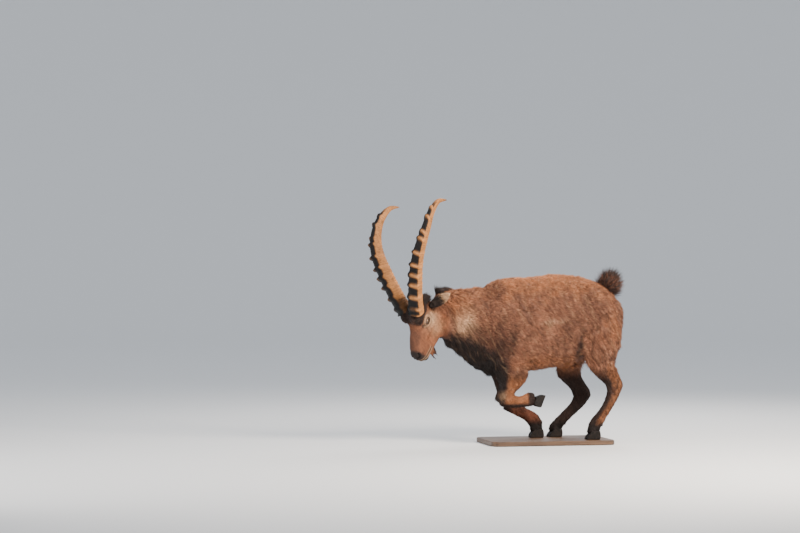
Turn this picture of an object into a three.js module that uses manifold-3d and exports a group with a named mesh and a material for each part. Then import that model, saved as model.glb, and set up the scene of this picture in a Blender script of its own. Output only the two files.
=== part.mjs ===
// A life-size alpine ibex, a horned mountain goat gathered for a leap, on a plain flat base.
// Millimetres, +Z up. The animal faces -X and its left side is towards -Y.
// The origin is at the middle of the base's underside.
import * as THREE from "three";
import { mergeVertices } from "three/addons/utils/BufferGeometryUtils.js";
import Module from "manifold-3d";

const wasm = await Module();
wasm.setup();

// Driving sizes
const GAP = 0.4; // kept between pieces that touch
const BASE = { length: 680, width: 400, thick: 25, corner: 40, bevel: 4 };
const FLOOR = BASE.thick + GAP; // the level that the feet stand on
const HEAD = { pitchDeg: 70, yawDeg: 28, occiput: [-600, 29, 752] };
const EYE = { along: 119, up: 76, out: 55, radius: 15 };
const HORN = { twistDeg: 18, roll: 0.1, deep: 36, wide: 33, least: 5 };
const KNOBS = {
  places: [0.01, 0.065, 0.146, 0.23, 0.295, 0.366, 0.462, 0.57, 0.62, 0.727, 0.8],
  heights: [6, 10, 14, 17, 18, 18, 17, 13, 8, 11, 8],
  spread: 0.024,
};
const EAR = { length: 132, width: 28, depth: 15, wall: 4, along: 41, up: 79, out: 56 };
const TAIL = { root: [338, 0, 806], length: 60, lean: [0.28, 0, 0.96] };
const LEFT = -1;
const RIGHT = 1;

// Colours
const COAT = new THREE.MeshStandardMaterial({ color: 0x7a5238, roughness: 0.85, metalness: 0 });
const DARK_COAT = new THREE.MeshStandardMaterial({ color: 0x3f2a20, roughness: 0.85, metalness: 0 });
const HORN_STUFF = new THREE.MeshStandardMaterial({ color: 0xa98a5c, roughness: 0.6, metalness: 0 });
const EYE_STUFF = new THREE.MeshStandardMaterial({ color: 0x6b4a1e, roughness: 0.15, metalness: 0 });
const HOOF_STUFF = new THREE.MeshStandardMaterial({ color: 0x2c2622, roughness: 0.5, metalness: 0 });
const BASE_STUFF = new THREE.MeshStandardMaterial({ color: 0x4a4038, roughness: 0.6, metalness: 0 });

const radians = THREE.MathUtils.degToRad;
const vec = (p) => new THREE.Vector3(...p);
const between = (a, b, t) => a + (b - a) * t;

// A repeatable random draw from 0 to 1
function makeDraw(seed) {
  let state = seed;
  return () => {
    state = (state * 1664525 + 1013904223) % 4294967296;
    return state / 4294967296;
  };
}

// Rows of numbers read as smooth curves, at a place counted in rows
function readRows(rows, place) {
  const last = rows.length - 1;
  const i = Math.min(Math.floor(place), last - 1);
  const t = place - i;
  const [a, b, c, d] = [i - 1, i, i + 1, i + 2].map((k) => rows[Math.min(Math.max(k, 0), last)]);
  return b.map((_, k) => {
    const m0 = (c[k] - a[k]) / 2;
    const m1 = (d[k] - b[k]) / 2;
    const t2 = t * t;
    const t3 = t2 * t;
    return (2 * t3 - 3 * t2 + 1) * b[k] + (t3 - 2 * t2 + t) * m0 + (3 * t2 - 2 * t3) * c[k] + (t3 - t2) * m1;
  });
}

// A closed body from rings of points, with a pole at each end
function skinRings(rings, firstPole, lastPole) {
  const around = rings[0].length;
  const positions = [];
  const faces = [];
  rings.forEach((ring) => ring.forEach((p) => positions.push(p.x, p.y, p.z)));
  positions.push(firstPole.x, firstPole.y, firstPole.z, lastPole.x, lastPole.y, lastPole.z);
  const first = rings.length * around;
  for (let k = 0; k < around; k++) {
    const next = (k + 1) % around;
    faces.push(first, next, k);
    faces.push(first + 1, first - around + k, first - around + next);
    for (let i = 0; i < rings.length - 1; i++) {
      const a = i * around;
      faces.push(a + k, a + next, a + around + k, a + next, a + around + next, a + around + k);
    }
  }
  return solidFrom(positions, faces);
}

function solidFrom(positions, faces) {
  const solid = (order) =>
    new wasm.Manifold(
      new wasm.Mesh({
        numProp: 3,
        vertProperties: new Float32Array(positions),
        triVerts: new Uint32Array(order),
      }),
    );
  const made = solid(faces);
  return made.volume() > 0 ? made : solid([...faces].reverse());
}

// A body lofted through rows of [x, y, z, up, down, side]: a centre and three half sizes.
// bow is how far each round end stands out, steps the rings from row to row, shape 2 an oval and more squarer.
// With level set, every ring lies square to that direction, and without it square to the centre line.
function loft(rows, { around = 16, steps = 2, bow = [20, 20], shape = 2, up = [0, 0, 1], grow = 0, level } = {}) {
  const upward = vec(up);
  const centreAt = (place) => vec(readRows(rows, place).slice(0, 3));
  const last = rows.length - 1;
  const tangent = (place) => {
    if (level) return vec(level);
    return centreAt(Math.min(place + 0.05, last)).sub(centreAt(Math.max(place - 0.05, 0))).normalize();
  };
  const ringAt = (place, scale, shift) => {
    const at = Math.min(Math.max(place, 0), last);
    const row = readRows(rows, at);
    const ahead = tangent(at);
    const side = new THREE.Vector3().crossVectors(upward, ahead).normalize();
    const rise = new THREE.Vector3().crossVectors(ahead, side).normalize();
    const centre = vec(row.slice(0, 3)).addScaledVector(ahead, shift);
    return Array.from({ length: around }, (_, k) => {
      const turn = (k / around) * Math.PI * 2;
      const c = Math.sign(Math.cos(turn)) * Math.abs(Math.cos(turn)) ** (2 / shape);
      const s = Math.sign(Math.sin(turn)) * Math.abs(Math.sin(turn)) ** (2 / shape);
      const wide = (row[5] + grow) * c * scale;
      const tall = ((s > 0 ? row[3] : row[4]) + grow) * s * scale;
      return centre.clone().addScaledVector(side, wide).addScaledVector(rise, tall);
    });
  };
  const rings = [];
  const capTurns = [0.35, 0.7].map((share) => (share * Math.PI) / 2);
  capTurns.forEach((turn) => rings.push(ringAt(0, Math.sin(turn), -(bow[0] + grow) * Math.cos(turn))));
  for (let i = 0; i <= last * steps; i++) rings.push(ringAt(i / steps, 1, 0));
  [...capTurns].reverse().forEach((turn) => rings.push(ringAt(last, Math.sin(turn), (bow[1] + grow) * Math.cos(turn))));
  const firstPole = centreAt(0).addScaledVector(tangent(0), -(bow[0] + grow));
  const lastPole = centreAt(last).addScaledVector(tangent(last), bow[1] + grow);
  return skinRings(rings, firstPole, lastPole);
}

// The largest closed body of a solid
function largest(solid) {
  return solid.decompose().reduce((best, one) => (one.volume() > best.volume() ? one : best));
}

// A three.js geometry as a solid that can be cut and joined
function solidOf(geometry) {
  const bare = geometry.clone();
  bare.deleteAttribute("normal");
  bare.deleteAttribute("uv");
  const merged = mergeVertices(bare, 1e-4);
  return solidFrom([...merged.attributes.position.array], [...merged.index.array]);
}

function toMesh(name, solid, material) {
  const made = largest(solid).getMesh();
  const geometry = new THREE.BufferGeometry();
  geometry.setAttribute("position", new THREE.BufferAttribute(made.vertProperties, 3));
  geometry.setIndex(new THREE.BufferAttribute(made.triVerts, 1));
  geometry.computeVertexNormals();
  const mesh = new THREE.Mesh(geometry, material);
  mesh.name = name;
  return mesh;
}

// An oval ball with its axes along x, y and z
function ball(centre, radii, wide = 16, tall = 10) {
  const geometry = new THREE.SphereGeometry(1, wide, tall);
  geometry.scale(...radii).translate(...centre);
  return solidOf(geometry);
}

// A flat lock of hair that tapers from a sunk root to its tip and bends towards bend
function lock(root, lie, bend, length, width, thick) {
  const way = vec(lie).normalize();
  const curl = vec(bend).addScaledVector(way, -vec(bend).dot(way));
  const flat = new THREE.Vector3().crossVectors(way, curl.lengthSq() > 1e-6 ? curl : vec([0.1, 1, 0.2])).normalize();
  const across = new THREE.Vector3().crossVectors(flat, way).normalize();
  const at = (t) => vec(root).addScaledVector(way, length * t).addScaledVector(curl, length * t * t);
  const rings = [0, 0.3, 0.65].map((t) => {
    const size = 1 - 0.75 * t * t;
    return [
      [1, 0],
      [0, 1],
      [-1, 0],
      [0, -1],
    ].map(([w, h]) =>
      at(t).addScaledVector(flat, w * width * 0.5 * size).addScaledVector(across, h * thick * 0.5 * size),
    );
  });
  return skinRings(rings, at(-0.05), at(1));
}

function fuse(solid, pieces) {
  return largest(wasm.Manifold.union([solid, ...pieces]));
}

// The head's own frame: x along the nose from the occiput, z to the forehead, y to the right side
const headPlace = (() => {
  const yaw = radians(HEAD.yawDeg);
  const pitch = radians(HEAD.pitchDeg);
  const level = new THREE.Vector3(-Math.cos(yaw), -Math.sin(yaw), 0);
  const nose = level.clone().multiplyScalar(Math.cos(pitch)).add(new THREE.Vector3(0, 0, -Math.sin(pitch)));
  const crown = level.clone().multiplyScalar(Math.sin(pitch)).add(new THREE.Vector3(0, 0, Math.cos(pitch)));
  const right = new THREE.Vector3().crossVectors(crown, nose);
  return new THREE.Matrix4().makeBasis(nose, right, crown).setPosition(...HEAD.occiput);
})();
const fromHead = (solid) => solid.transform([...headPlace.elements]);
const headPoint = (p) => vec(p).applyMatrix4(headPlace);

// Torso: rows from the chest's front to the rump
const TORSO_ROWS = [
  [-372, 0, 610, 190, 190, 98],
  [-330, 0, 620, 238, 236, 140],
  [-270, 0, 630, 260, 260, 160],
  [-185, 0, 638, 263, 263, 172],
  [-85, 0, 645, 256, 256, 178],
  [33, 0, 662, 257, 256, 182],
  [125, 0, 670, 245, 250, 178],
  [216, 0, 682, 217, 228, 168],
  [300, 0, 690, 178, 200, 154],
  [362, 0, 690, 134, 170, 132],
  [404, 0, 682, 92, 130, 98],
];
const TORSO_FORM = { around: 24, steps: 1, bow: [26, 26], shape: 2.15, level: [1, 0, 0] };

// Neck: rows from inside the chest to inside the head
const NECK_ROWS = [
  [-300, 0, 640, 200, 200, 120],
  [-372, 0, 628, 222, 218, 128],
  [-430, 0, 648, 194, 208, 122],
  [-490, 4, 675, 164, 190, 108],
  [-545, 10, 700, 136, 162, 92],
  [-590, 18, 722, 106, 122, 72],
];
const NECK_FORM = { around: 20, steps: 1, bow: [20, 34], shape: 2.1, level: [-1, 0, 0] };

// Head, in its own frame: rows from the occiput to the nose
const HEAD_ROWS = [
  [12, 0, 24, 84, 84, 54],
  [35, 0, 30, 112, 108, 66],
  [68, 0, 37, 128, 126, 72],
  [100, 0, 40, 130, 130, 72],
  [132, 0, 36, 118, 120, 66],
  [160, 0, 24, 101, 102, 57],
  [190, 0, 19, 90, 89, 50],
  [235, 0, 20, 78, 78, 45],
  [280, 0, 19, 61, 59, 40],
  [304, 0, 17, 44, 43, 34],
];
const HEAD_FORM = { around: 24, steps: 1, bow: [18, 21], shape: 2.2, level: [1, 0, 0] };

const torsoSolid = (grow) => loft(TORSO_ROWS, { ...TORSO_FORM, grow });
const neckSolid = (grow) => loft(NECK_ROWS, { ...NECK_FORM, grow });

// A ridge round the eye, as wide as the lids
function eyeLids(side) {
  const ring = new THREE.TorusGeometry(EYE.radius * 0.98, 5, 6, 14);
  ring.scale(1.25, 0.9, 1).rotateX(Math.PI / 2).rotateZ(side * radians(-14)).rotateY(radians(-12));
  return solidOf(ring.translate(EYE.along, side * (EYE.out + 6.5), EYE.up));
}

function eyeBall(side, grow) {
  const r = EYE.radius + grow;
  return ball([EYE.along, side * EYE.out, EYE.up], [r, r, r], 14, 8);
}

// The mouth's line: a thin curved wedge cut into each side of the muzzle and round its front
const MOUTH = { back: 224, front: 345, level: -19, rise: 16, open: 2.2, depth: 8 };
function mouthCut() {
  const outline = new THREE.Shape();
  outline.moveTo(MOUTH.back, MOUTH.level);
  outline.quadraticCurveTo(290, MOUTH.level + 1, MOUTH.front, MOUTH.level + MOUTH.rise + MOUTH.open);
  outline.lineTo(MOUTH.front, MOUTH.level + MOUTH.rise - MOUTH.open);
  outline.quadraticCurveTo(290, MOUTH.level - MOUTH.open * 2, MOUTH.back, MOUTH.level);
  const blade = new THREE.ExtrudeGeometry(outline, { depth: 160, bevelEnabled: false, curveSegments: 5 });
  blade.rotateX(Math.PI / 2).translate(0, 80, 0);
  const inside = loft(HEAD_ROWS, { ...HEAD_FORM, around: 16, grow: -MOUTH.depth });
  return solidOf(blade).subtract(inside);
}

function nostril(side) {
  const hole = new THREE.SphereGeometry(1, 8, 6);
  hole.scale(13, 8, 6).rotateZ(side * radians(-35)).rotateY(radians(35));
  return solidOf(hole.translate(308, side * 25, 30));
}

function nostrilRim(side) {
  const rim = new THREE.TorusGeometry(10, 4, 5, 10);
  rim.scale(1.25, 0.8, 1).rotateX(Math.PI / 2).rotateZ(side * radians(-38)).rotateY(radians(35));
  return solidOf(rim.translate(305, side * 27, 30));
}

// Upper and lower lips as soft rolls along the mouth
function lips() {
  const roll = (level, size) =>
    [LEFT, RIGHT].map((side) =>
      loft(
        [
          [232, side * 36, level - 14, size * 0.5, size * 0.5, 4],
          [262, side * 32, level - 12, size, size, 8],
          [288, side * 26, level - 7, size, size, 9],
          [306, side * 16, level - 1, size, size, 9],
          [314, side * 2, level + 2, size, size, 8],
        ],
        { around: 8, steps: 1, bow: [4, 4] },
      ),
    );
  return [...roll(8, 9), ...roll(-14, 8)];
}

// Beard: a short tuft of locks below the chin
function beard() {
  const draw = makeDraw(11);
  return Array.from({ length: 11 }, (_, i) => {
    const t = i / 10;
    const root = [between(232, 266, draw()), between(-15, 15, t), -46];
    const lie = [between(0.1, 0.5, draw()), between(-0.25, 0.25, t), -0.9];
    return lock(root, lie, [0.25, 0, 0], between(56, 70, draw()), 15, 8);
  });
}

// What stands out of the head's plain form on one side: the brow, the cheek and the horn's bony root
const bumps = (side, grow = 0) =>
  [
    { at: [117, side * 50, 96], radii: [36, 20, 25] },
    { at: [130, side * 44, -22], radii: [52, 24, 50] },
    { at: [112, side * 34, 142], radii: [48, 27, 42] },
  ].map(({ at, radii }) => ball(at, radii.map((r) => r + grow), 12, 8));

function headPlain(grow) {
  return fuse(loft(HEAD_ROWS, { ...HEAD_FORM, grow }), [...bumps(LEFT, grow), ...bumps(RIGHT, grow)]);
}

function headSolid() {
  const extras = [LEFT, RIGHT].flatMap((side) => [eyeLids(side), nostrilRim(side)]);
  const chin = ball([284, 0, -32], [28, 21, 17], 12, 8);
  const whole = fuse(headPlain(0), [...extras, ...lips(), chin, ...beard()]);
  const holes = [LEFT, RIGHT].flatMap((side) => [eyeBall(side, GAP), nostril(side)]);
  return whole.subtract(wasm.Manifold.union([...holes, mouthCut()]));
}

// Horn centre line in the head's level frame: ahead of, out from and up from HORN_FRAME
const HORN_FRAME = [-749, -50, FLOOR];
const HORN_ROWS = [
  [1, 44, 685],
  [31, 70, 755],
  [57, 102, 834],
  [79, 134, 917],
  [89, 164, 985],
  [86, 190, 1052],
  [70, 207, 1125],
  [40, 208, 1198],
  [-14, 200, 1254],
  [-80, 194, 1264],
];
const hornTaper = (t) => 1 - 0.12 * t - 0.88 * t ** 3.2;

function knobHeight(t) {
  const each = KNOBS.places.map((place, i) => KNOBS.heights[i] * (1 - ((t - place) / KNOBS.spread) ** 2));
  return Math.max(0, ...each);
}

// A rod whose front is flat and carries knobs, on the curve's outer side all the way
function horn(side) {
  const yaw = radians(HEAD.yawDeg);
  const ahead = new THREE.Vector3(-Math.cos(yaw), -Math.sin(yaw), 0);
  const right = new THREE.Vector3(-Math.sin(yaw), Math.cos(yaw), 0);
  const count = 50;
  const around = 12;
  const last = HORN_ROWS.length - 1;
  const lean = (out) => -side * HORN.roll * (out - HORN_ROWS[0][1]);
  const at = (t) => {
    const [f, out, up] = readRows(HORN_ROWS, Math.min(Math.max(t, 0), 1) * last);
    const rise = vec([0, 0, up + lean(out)]);
    return vec(HORN_FRAME).addScaledVector(ahead, f).addScaledVector(right, out * side).add(rise);
  };
  const wayAt = (t) => at(t + 0.02).sub(at(t - 0.02)).normalize();
  const rings = Array.from({ length: count + 1 }, (_, i) => {
    const t = i / count;
    const way = wayAt(t);
    const front = new THREE.Vector3().crossVectors(way, right).normalize();
    front.applyAxisAngle(way, -side * radians(HORN.twistDeg));
    const across = new THREE.Vector3().crossVectors(way, front).normalize();
    const deep = HORN.least + HORN.deep * hornTaper(t);
    const wide = HORN.least + HORN.wide * (1 - 0.75 * t - 0.25 * t ** 3);
    return Array.from({ length: around }, (_, k) => {
      const turn = (k / around) * Math.PI * 2;
      const square = (v) => Math.sign(v) * Math.abs(v) ** 0.62;
      const facing = Math.sqrt(Math.max(0, Math.cos(turn)));
      const knob = knobHeight(t) * facing;
      return at(t)
        .addScaledVector(front, deep * square(Math.cos(turn)) + knob)
        .addScaledVector(across, wide * square(Math.sin(turn)) * (1 + 0.015 * knob));
    });
  });
  return skinRings(rings, at(0).addScaledVector(wayAt(0), -6), at(1).addScaledVector(wayAt(1), 12));
}

// Ear: a leaf-shaped cup that opens outwards
function ear(side) {
  const way = new THREE.Vector3(-0.6, side * 0.78, -0.16).normalize();
  const root = new THREE.Vector3(EAR.along, side * EAR.out, EAR.up);
  const open = new THREE.Vector3(0.27, side * 0.5, 0.75);
  open.addScaledVector(way, -open.dot(way)).normalize();
  const across = new THREE.Vector3().crossVectors(way, open).normalize();
  const widths = [0.42, 0.62, 0.86, 1, 0.96, 0.76, 0.46];
  const leaf = (inset, lift, reach) =>
    widths.map((share, i) => {
      const t = between(-0.06, 0.9, i / (widths.length - 1));
      const wide = EAR.width * share - inset;
      const deep = EAR.depth * between(1.1, 0.55, t) * Math.sqrt(share) - inset;
      const centre = root.clone().addScaledVector(way, EAR.length * t * reach).addScaledVector(open, lift);
      return Array.from({ length: 12 }, (_, k) => {
        const turn = (k / 12) * Math.PI * 2;
        return centre
          .clone()
          .addScaledVector(across, wide * Math.cos(turn))
          .addScaledVector(open, deep * Math.sin(turn));
      });
    });
  const end = (t, lift) => root.clone().addScaledVector(way, EAR.length * t).addScaledVector(open, lift);
  const outer = skinRings(leaf(0, 0, 1), end(-0.12, 0), end(1, 0));
  const hollow = skinRings(leaf(EAR.wall, EAR.depth * 0.75, 0.97).slice(1), end(0.06, EAR.depth * 0.75), end(0.94, EAR.depth * 0.75));
  return outer.subtract(hollow);
}

// Nape crest: dark wisps behind the horns
function napeCrest() {
  const draw = makeDraw(5);
  return Array.from({ length: 16 }, (_, i) => {
    const t = i / 15;
    const root = [between(-618, -530, t), between(-12, 34, draw()), between(812, 822, t)];
    return lock(root, [0.9, 0.25 * (draw() - 0.5), between(0.55, 0.3, t)], [0.3, 0, -0.35], between(52, 66, draw()), 17, 8);
  });
}

// Throat fringe: dark locks where the jaw meets the neck
function throatFringe() {
  const draw = makeDraw(23);
  return Array.from({ length: 12 }, (_, i) => {
    const t = i / 11;
    const root = [between(-585, -528, t), between(-24, 38, draw()), between(636, 574, t)];
    return lock(root, [0.35, 0.5 * (draw() - 0.5), -0.9], [0.35, 0, 0.1], between(56, 66, draw()), 19, 9);
  });
}

// Sheath tuft under the belly
function bellyTuft() {
  const draw = makeDraw(31);
  return Array.from({ length: 10 }, (_, i) => {
    const t = i / 9;
    const root = [between(40, 150, t), between(-38, 38, draw()), between(432, 446, t)];
    return lock(root, [0.55, 0.4 * (draw() - 0.5), -0.8], [0.3, 0, 0.2], between(48, 60, draw()), 20, 9);
  });
}

// Tail: a short dock with a raised brush of locks that spread like a fan
function tailSolid() {
  const draw = makeDraw(47);
  const way = vec(TAIL.lean).normalize();
  const root = vec(TAIL.root);
  const rows = [0, 0.5, 1].map((t) => {
    const at = root.clone().addScaledVector(way, TAIL.length * t);
    return [...at.toArray(), 34 - 8 * t, 34 - 8 * t, 30 - 6 * t];
  });
  const dock = loft(rows, { around: 12, steps: 1, bow: [10, 14], up: [-0.96, 0, 0.28] });
  const back = new THREE.Vector3(0.96, 0, -0.28);
  const locks = Array.from({ length: 34 }, (_, i) => {
    const turn = i * 2.39996;
    const high = i / 33;
    const reach = Math.sqrt(1 - high * 0.8);
    const out = back.clone().multiplyScalar(Math.cos(turn) * reach);
    out.y += Math.sin(turn) * reach * 0.8;
    const lie = way.clone().multiplyScalar(between(0.7, 1, high)).addScaledVector(out, 1);
    const start = root.clone().addScaledVector(way, TAIL.length * between(0.2, 0.95, high)).addScaledVector(out, 10);
    const bend = way.clone().multiplyScalar(between(-0.1, 0.3, draw()));
    return lock(start.toArray(), lie.toArray(), bend.toArray(), between(70, 92, draw()), 20, 9);
  });
  return fuse(dock, locks);
}

// Legs: rows of [x, y, z, up, down, side]; "up" is towards the front, as each leg's rise is -X
const LEG_FORM = { around: 12, steps: 2, up: [-1, 0, 0.05], shape: 2.1 };
const LEG_ROWS = {
  hind_left_thigh: [
    [290, -92, 660, 96, 96, 56],
    [288, -106, 590, 104, 112, 62],
    [280, -112, 520, 106, 112, 60],
    [272, -112, 458, 92, 94, 54],
    [286, -110, 410, 82, 84, 46],
    [316, -108, 372, 71, 71, 38],
  ],
  hind_left_shank: [
    [316, -108, 372, 71, 71, 38],
    [342, -108, 338, 58, 58, 33],
    [357, -108, 312, 49, 50, 30],
    [354, -107, 280, 41, 42, 28],
  ],
  hind_left_cannon: [
    [354, -107, 280, 41, 42, 28],
    [338, -106, 236, 35, 36, 25],
    [308, -105, 186, 36, 37, 24],
    [278, -104, 146, 40, 40, 25],
    [260, -104, 118, 43, 43, 28],
    [246, -104, 90, 39, 38, 27],
    [240, -104, 66, 38, 34, 28],
  ],
  hind_right_thigh: [
    [262, 92, 640, 92, 92, 56],
    [240, 106, 570, 98, 104, 60],
    [205, 112, 500, 90, 98, 56],
    [176, 112, 440, 80, 84, 50],
    [164, 112, 396, 72, 74, 43],
    [172, 112, 352, 70, 70, 38],
  ],
  hind_right_shank: [
    [172, 112, 352, 70, 70, 38],
    [200, 112, 318, 61, 61, 34],
    [230, 112, 282, 56, 57, 30],
    [240, 112, 246, 50, 52, 28],
  ],
  hind_right_cannon: [
    [240, 112, 246, 50, 52, 28],
    [222, 112, 212, 46, 48, 25],
    [190, 111, 178, 46, 47, 24],
    [148, 110, 140, 43, 44, 25],
    [114, 110, 108, 43, 44, 28],
    [96, 110, 84, 42, 40, 27],
    [90, 110, 66, 40, 36, 28],
  ],
  fore_left_forearm: [
    [-215, -96, 470, 92, 92, 58],
    [-214, -104, 415, 98, 96, 54],
    [-213, -106, 362, 88, 88, 46],
    [-218, -106, 322, 68, 68, 38],
    [-240, -105, 286, 58, 50, 33],
    [-257, -104, 256, 52, 44, 33],
  ],
  fore_right_forearm: [
    [-215, 96, 480, 80, 80, 54],
    [-213, 100, 415, 78, 78, 50],
    [-208, 98, 350, 62, 62, 42],
    [-202, 94, 290, 48, 48, 34],
    [-194, 90, 240, 43, 43, 32],
    [-188, 88, 214, 42, 42, 31],
  ],
  fore_right_cannon: [
    [-188, 88, 214, 42, 42, 31],
    [-158, 87, 194, 38, 38, 28],
    [-118, 86, 170, 34, 34, 25],
    [-74, 86, 146, 34, 34, 25],
    [-44, 86, 124, 40, 40, 28],
    [-30, 86, 96, 36, 38, 27],
    [-26, 86, 70, 36, 36, 28],
  ],
};
// The raised foreleg's cannon lies level behind its knee, so its own rise is +Z.
const RAISED_CANNON_ROWS = [
  [-258, -104, 247, 42, 42, 31],
  [-220, -103, 236, 38, 38, 29],
  [-186, -101, 232, 33, 33, 25],
  [-148, -97, 233, 33, 33, 25],
  [-112, -92, 242, 41, 38, 28],
  [-92, -89, 243, 35, 35, 26],
];

// One claw of a cloven hoof: a wedge that stands on its flat sole, toe towards toe
function clawSolid({ at, toe, length, height, wide, lean }) {
  const along = vec(toe).normalize();
  const outline = new THREE.Shape();
  outline.moveTo(-length * 0.45, 0);
  outline.lineTo(length * 0.5, 0);
  outline.quadraticCurveTo(length * 0.56, height * 0.22, length * (0.42 - lean), height * 0.6);
  outline.lineTo(length * (0.2 - lean), height);
  outline.lineTo(-length * (0.42 + lean * 0.4), height);
  outline.quadraticCurveTo(-length * 0.6, height * 0.4, -length * 0.45, 0);
  const claw = new THREE.ExtrudeGeometry(outline, {
    depth: wide - 6,
    bevelEnabled: true,
    bevelSize: 3,
    bevelThickness: 3,
    bevelSegments: 1,
    bevelOffset: -3,
    curveSegments: 4,
  });
  claw.translate(0, 0, -(wide - 6) / 2).rotateX(Math.PI / 2);
  const turn = Math.atan2(along.y, along.x);
  return solidOf(claw.rotateZ(turn).translate(...at));
}

const HOOF = { length: 74, height: 46, wide: 26, gap: 5 };
const DEWCLAW = { radius: 9, length: 30, apart: 14 };
const FEET = {
  hind_left: { x: 236, y: -104, toe: 180, lean: 0.1, dew: { at: [290, -104, 104], tiltDeg: -28 } },
  hind_right: { x: 84, y: 110, toe: 184, lean: 0.1, dew: { at: [146, 110, 96], tiltDeg: -28 } },
  fore_right: { x: -26, y: 86, toe: 178, lean: 0.02, dew: { at: [2, 86, 102], tiltDeg: -20 } },
};
const RAISED_DEW = { at: [-102, -91, 276], tiltDeg: -112 };

function claw(foot, side) {
  const toe = radians(foot.toe);
  const out = (side * (HOOF.wide + HOOF.gap)) / 2;
  const at = [foot.x - Math.sin(toe) * out, foot.y + Math.cos(toe) * out, FLOOR];
  return clawSolid({ ...HOOF, at, toe: [Math.cos(toe), Math.sin(toe), 0], lean: foot.lean });
}

// The raised foot's claws point back along the folded leg
function raisedClaw(side) {
  const flat = clawSolid({ ...HOOF, length: 70, at: [0, 0, 0], toe: [1, 0, 0], lean: 0.1 });
  const out = (side * (HOOF.wide + HOOF.gap)) / 2;
  return flat.rotate([0, -68, 0]).rotate([0, 0, 6]).translate([-40, -83 + out, 230]);
}

// The two small claws behind a fetlock, as a pair of blunt cones
function dewclaws({ at, tiltDeg }) {
  return [LEFT, RIGHT].map((side) => {
    const horn = new THREE.ConeGeometry(DEWCLAW.radius, DEWCLAW.length, 8).rotateX(-Math.PI / 2);
    horn.rotateY(radians(tiltDeg)).translate(at[0], at[1] + side * DEWCLAW.apart, at[2]);
    return solidOf(horn);
  });
}

// Assembly
const model = new THREE.Group();
const add = (name, solid, material) => model.add(toMesh(name, solid, material));

const torsoGrown = torsoSolid(GAP);
const headGrown = fromHead(headPlain(GAP));
const neckGrown = neckSolid(GAP);
add("torso", fuse(torsoSolid(0), bellyTuft()), COAT);
const head = fromHead(headSolid());
add("head", head, COAT);
const neckWhole = fuse(neckSolid(0), [...napeCrest(), ...throatFringe()]);
const headMoved = [1, -1].map((way) => head.translate([GAP * way, 0, 0]));
const headRoom = wasm.Manifold.union([headGrown, ...headMoved]);
add("neck", neckWhole.subtract(torsoGrown).subtract(headRoom), COAT);

for (const [side, word] of [
  [LEFT, "left"],
  [RIGHT, "right"],
]) {
  add(`eye_${word}`, fromHead(eyeBall(side, 0)), EYE_STUFF);
  add(`horn_${word}`, horn(side).subtract(headGrown).subtract(neckGrown), HORN_STUFF);
  add(`ear_${word}`, fromHead(ear(side)).subtract(headGrown).subtract(neckGrown), COAT);
}

add("tail", tailSolid().subtract(torsoGrown), DARK_COAT);

const legLoft = (rows, form = {}) => loft(rows, { ...LEG_FORM, bow: [8, 8], ...form });
for (const [leg, upper, middle] of [
  ["hind_left", "thigh", "shank"],
  ["hind_right", "thigh", "shank"],
  ["fore_right", "forearm", null],
]) {
  const upperRows = LEG_ROWS[`${leg}_${upper}`];
  const upright = { level: [0, 0, -1], bow: [8, 10] };
  const upperGrown = legLoft(upperRows, { ...upright, grow: GAP });
  add(`${leg}_${upper}`, legLoft(upperRows, upright).subtract(torsoGrown), COAT);
  let above = upperGrown;
  if (middle) {
    const middleRows = LEG_ROWS[`${leg}_${middle}`];
    add(`${leg}_${middle}`, legLoft(middleRows, upright).subtract(upperGrown).subtract(torsoGrown), COAT);
    above = legLoft(middleRows, { ...upright, grow: GAP });
  }
  const cannonRows = LEG_ROWS[`${leg}_cannon`];
  const foot = FEET[leg];
  const claws = [LEFT, RIGHT].map((side) => claw(foot, side));
  const ends = middle ? { ...upright, bow: [8, 12] } : { bow: [8, 12] };
  const cannon = fuse(legLoft(cannonRows, ends).subtract(above), dewclaws(foot.dew));
  add(`${leg}_cannon`, cannon, COAT);
  const cannonGrown = legLoft(cannonRows, { ...ends, grow: GAP });
  claws.forEach((solid, i) => add(`${leg}_claw_${i ? "right" : "left"}`, solid.subtract(cannonGrown), HOOF_STUFF));
}

// The raised foreleg
{
  const rows = LEG_ROWS.fore_left_forearm;
  const upright = { level: [0, 0, -1], bow: [8, 34] };
  add("fore_left_forearm", legLoft(rows, upright).subtract(torsoGrown), COAT);
  const above = legLoft(rows, { ...upright, grow: GAP });
  const form = { up: [0, 0, 1], bow: [30, 10] };
  const grown = legLoft(RAISED_CANNON_ROWS, { ...form, grow: GAP });
  const cannon = fuse(legLoft(RAISED_CANNON_ROWS, form).subtract(above), dewclaws(RAISED_DEW));
  add("fore_left_cannon", cannon, COAT);
  [LEFT, RIGHT].forEach((side, i) =>
    add(`fore_left_claw_${i ? "right" : "left"}`, raisedClaw(side).subtract(grown), HOOF_STUFF),
  );
}

// The base: a flat plate with round corners
function baseSolid() {
  const { length, width, thick, corner, bevel } = BASE;
  const x = length / 2 - bevel;
  const y = width / 2 - bevel;
  const outline = new THREE.Shape();
  outline.moveTo(-x + corner, -y);
  outline.lineTo(x - corner, -y);
  outline.absarc(x - corner, -y + corner, corner, -Math.PI / 2, 0, false);
  outline.absarc(x - corner, y - corner, corner, 0, Math.PI / 2, false);
  outline.absarc(-x + corner, y - corner, corner, Math.PI / 2, Math.PI, false);
  outline.absarc(-x + corner, -y + corner, corner, Math.PI, Math.PI * 1.5, false);
  const plate = new THREE.ExtrudeGeometry(outline, {
    depth: thick - bevel * 2,
    bevelEnabled: true,
    bevelSize: bevel,
    bevelThickness: bevel,
    bevelSegments: 1,
    curveSegments: 5,
  });
  return solidOf(plate.translate(0, 0, bevel));
}
add("stand_base", baseSolid(), BASE_STUFF);

export default model;
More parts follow.
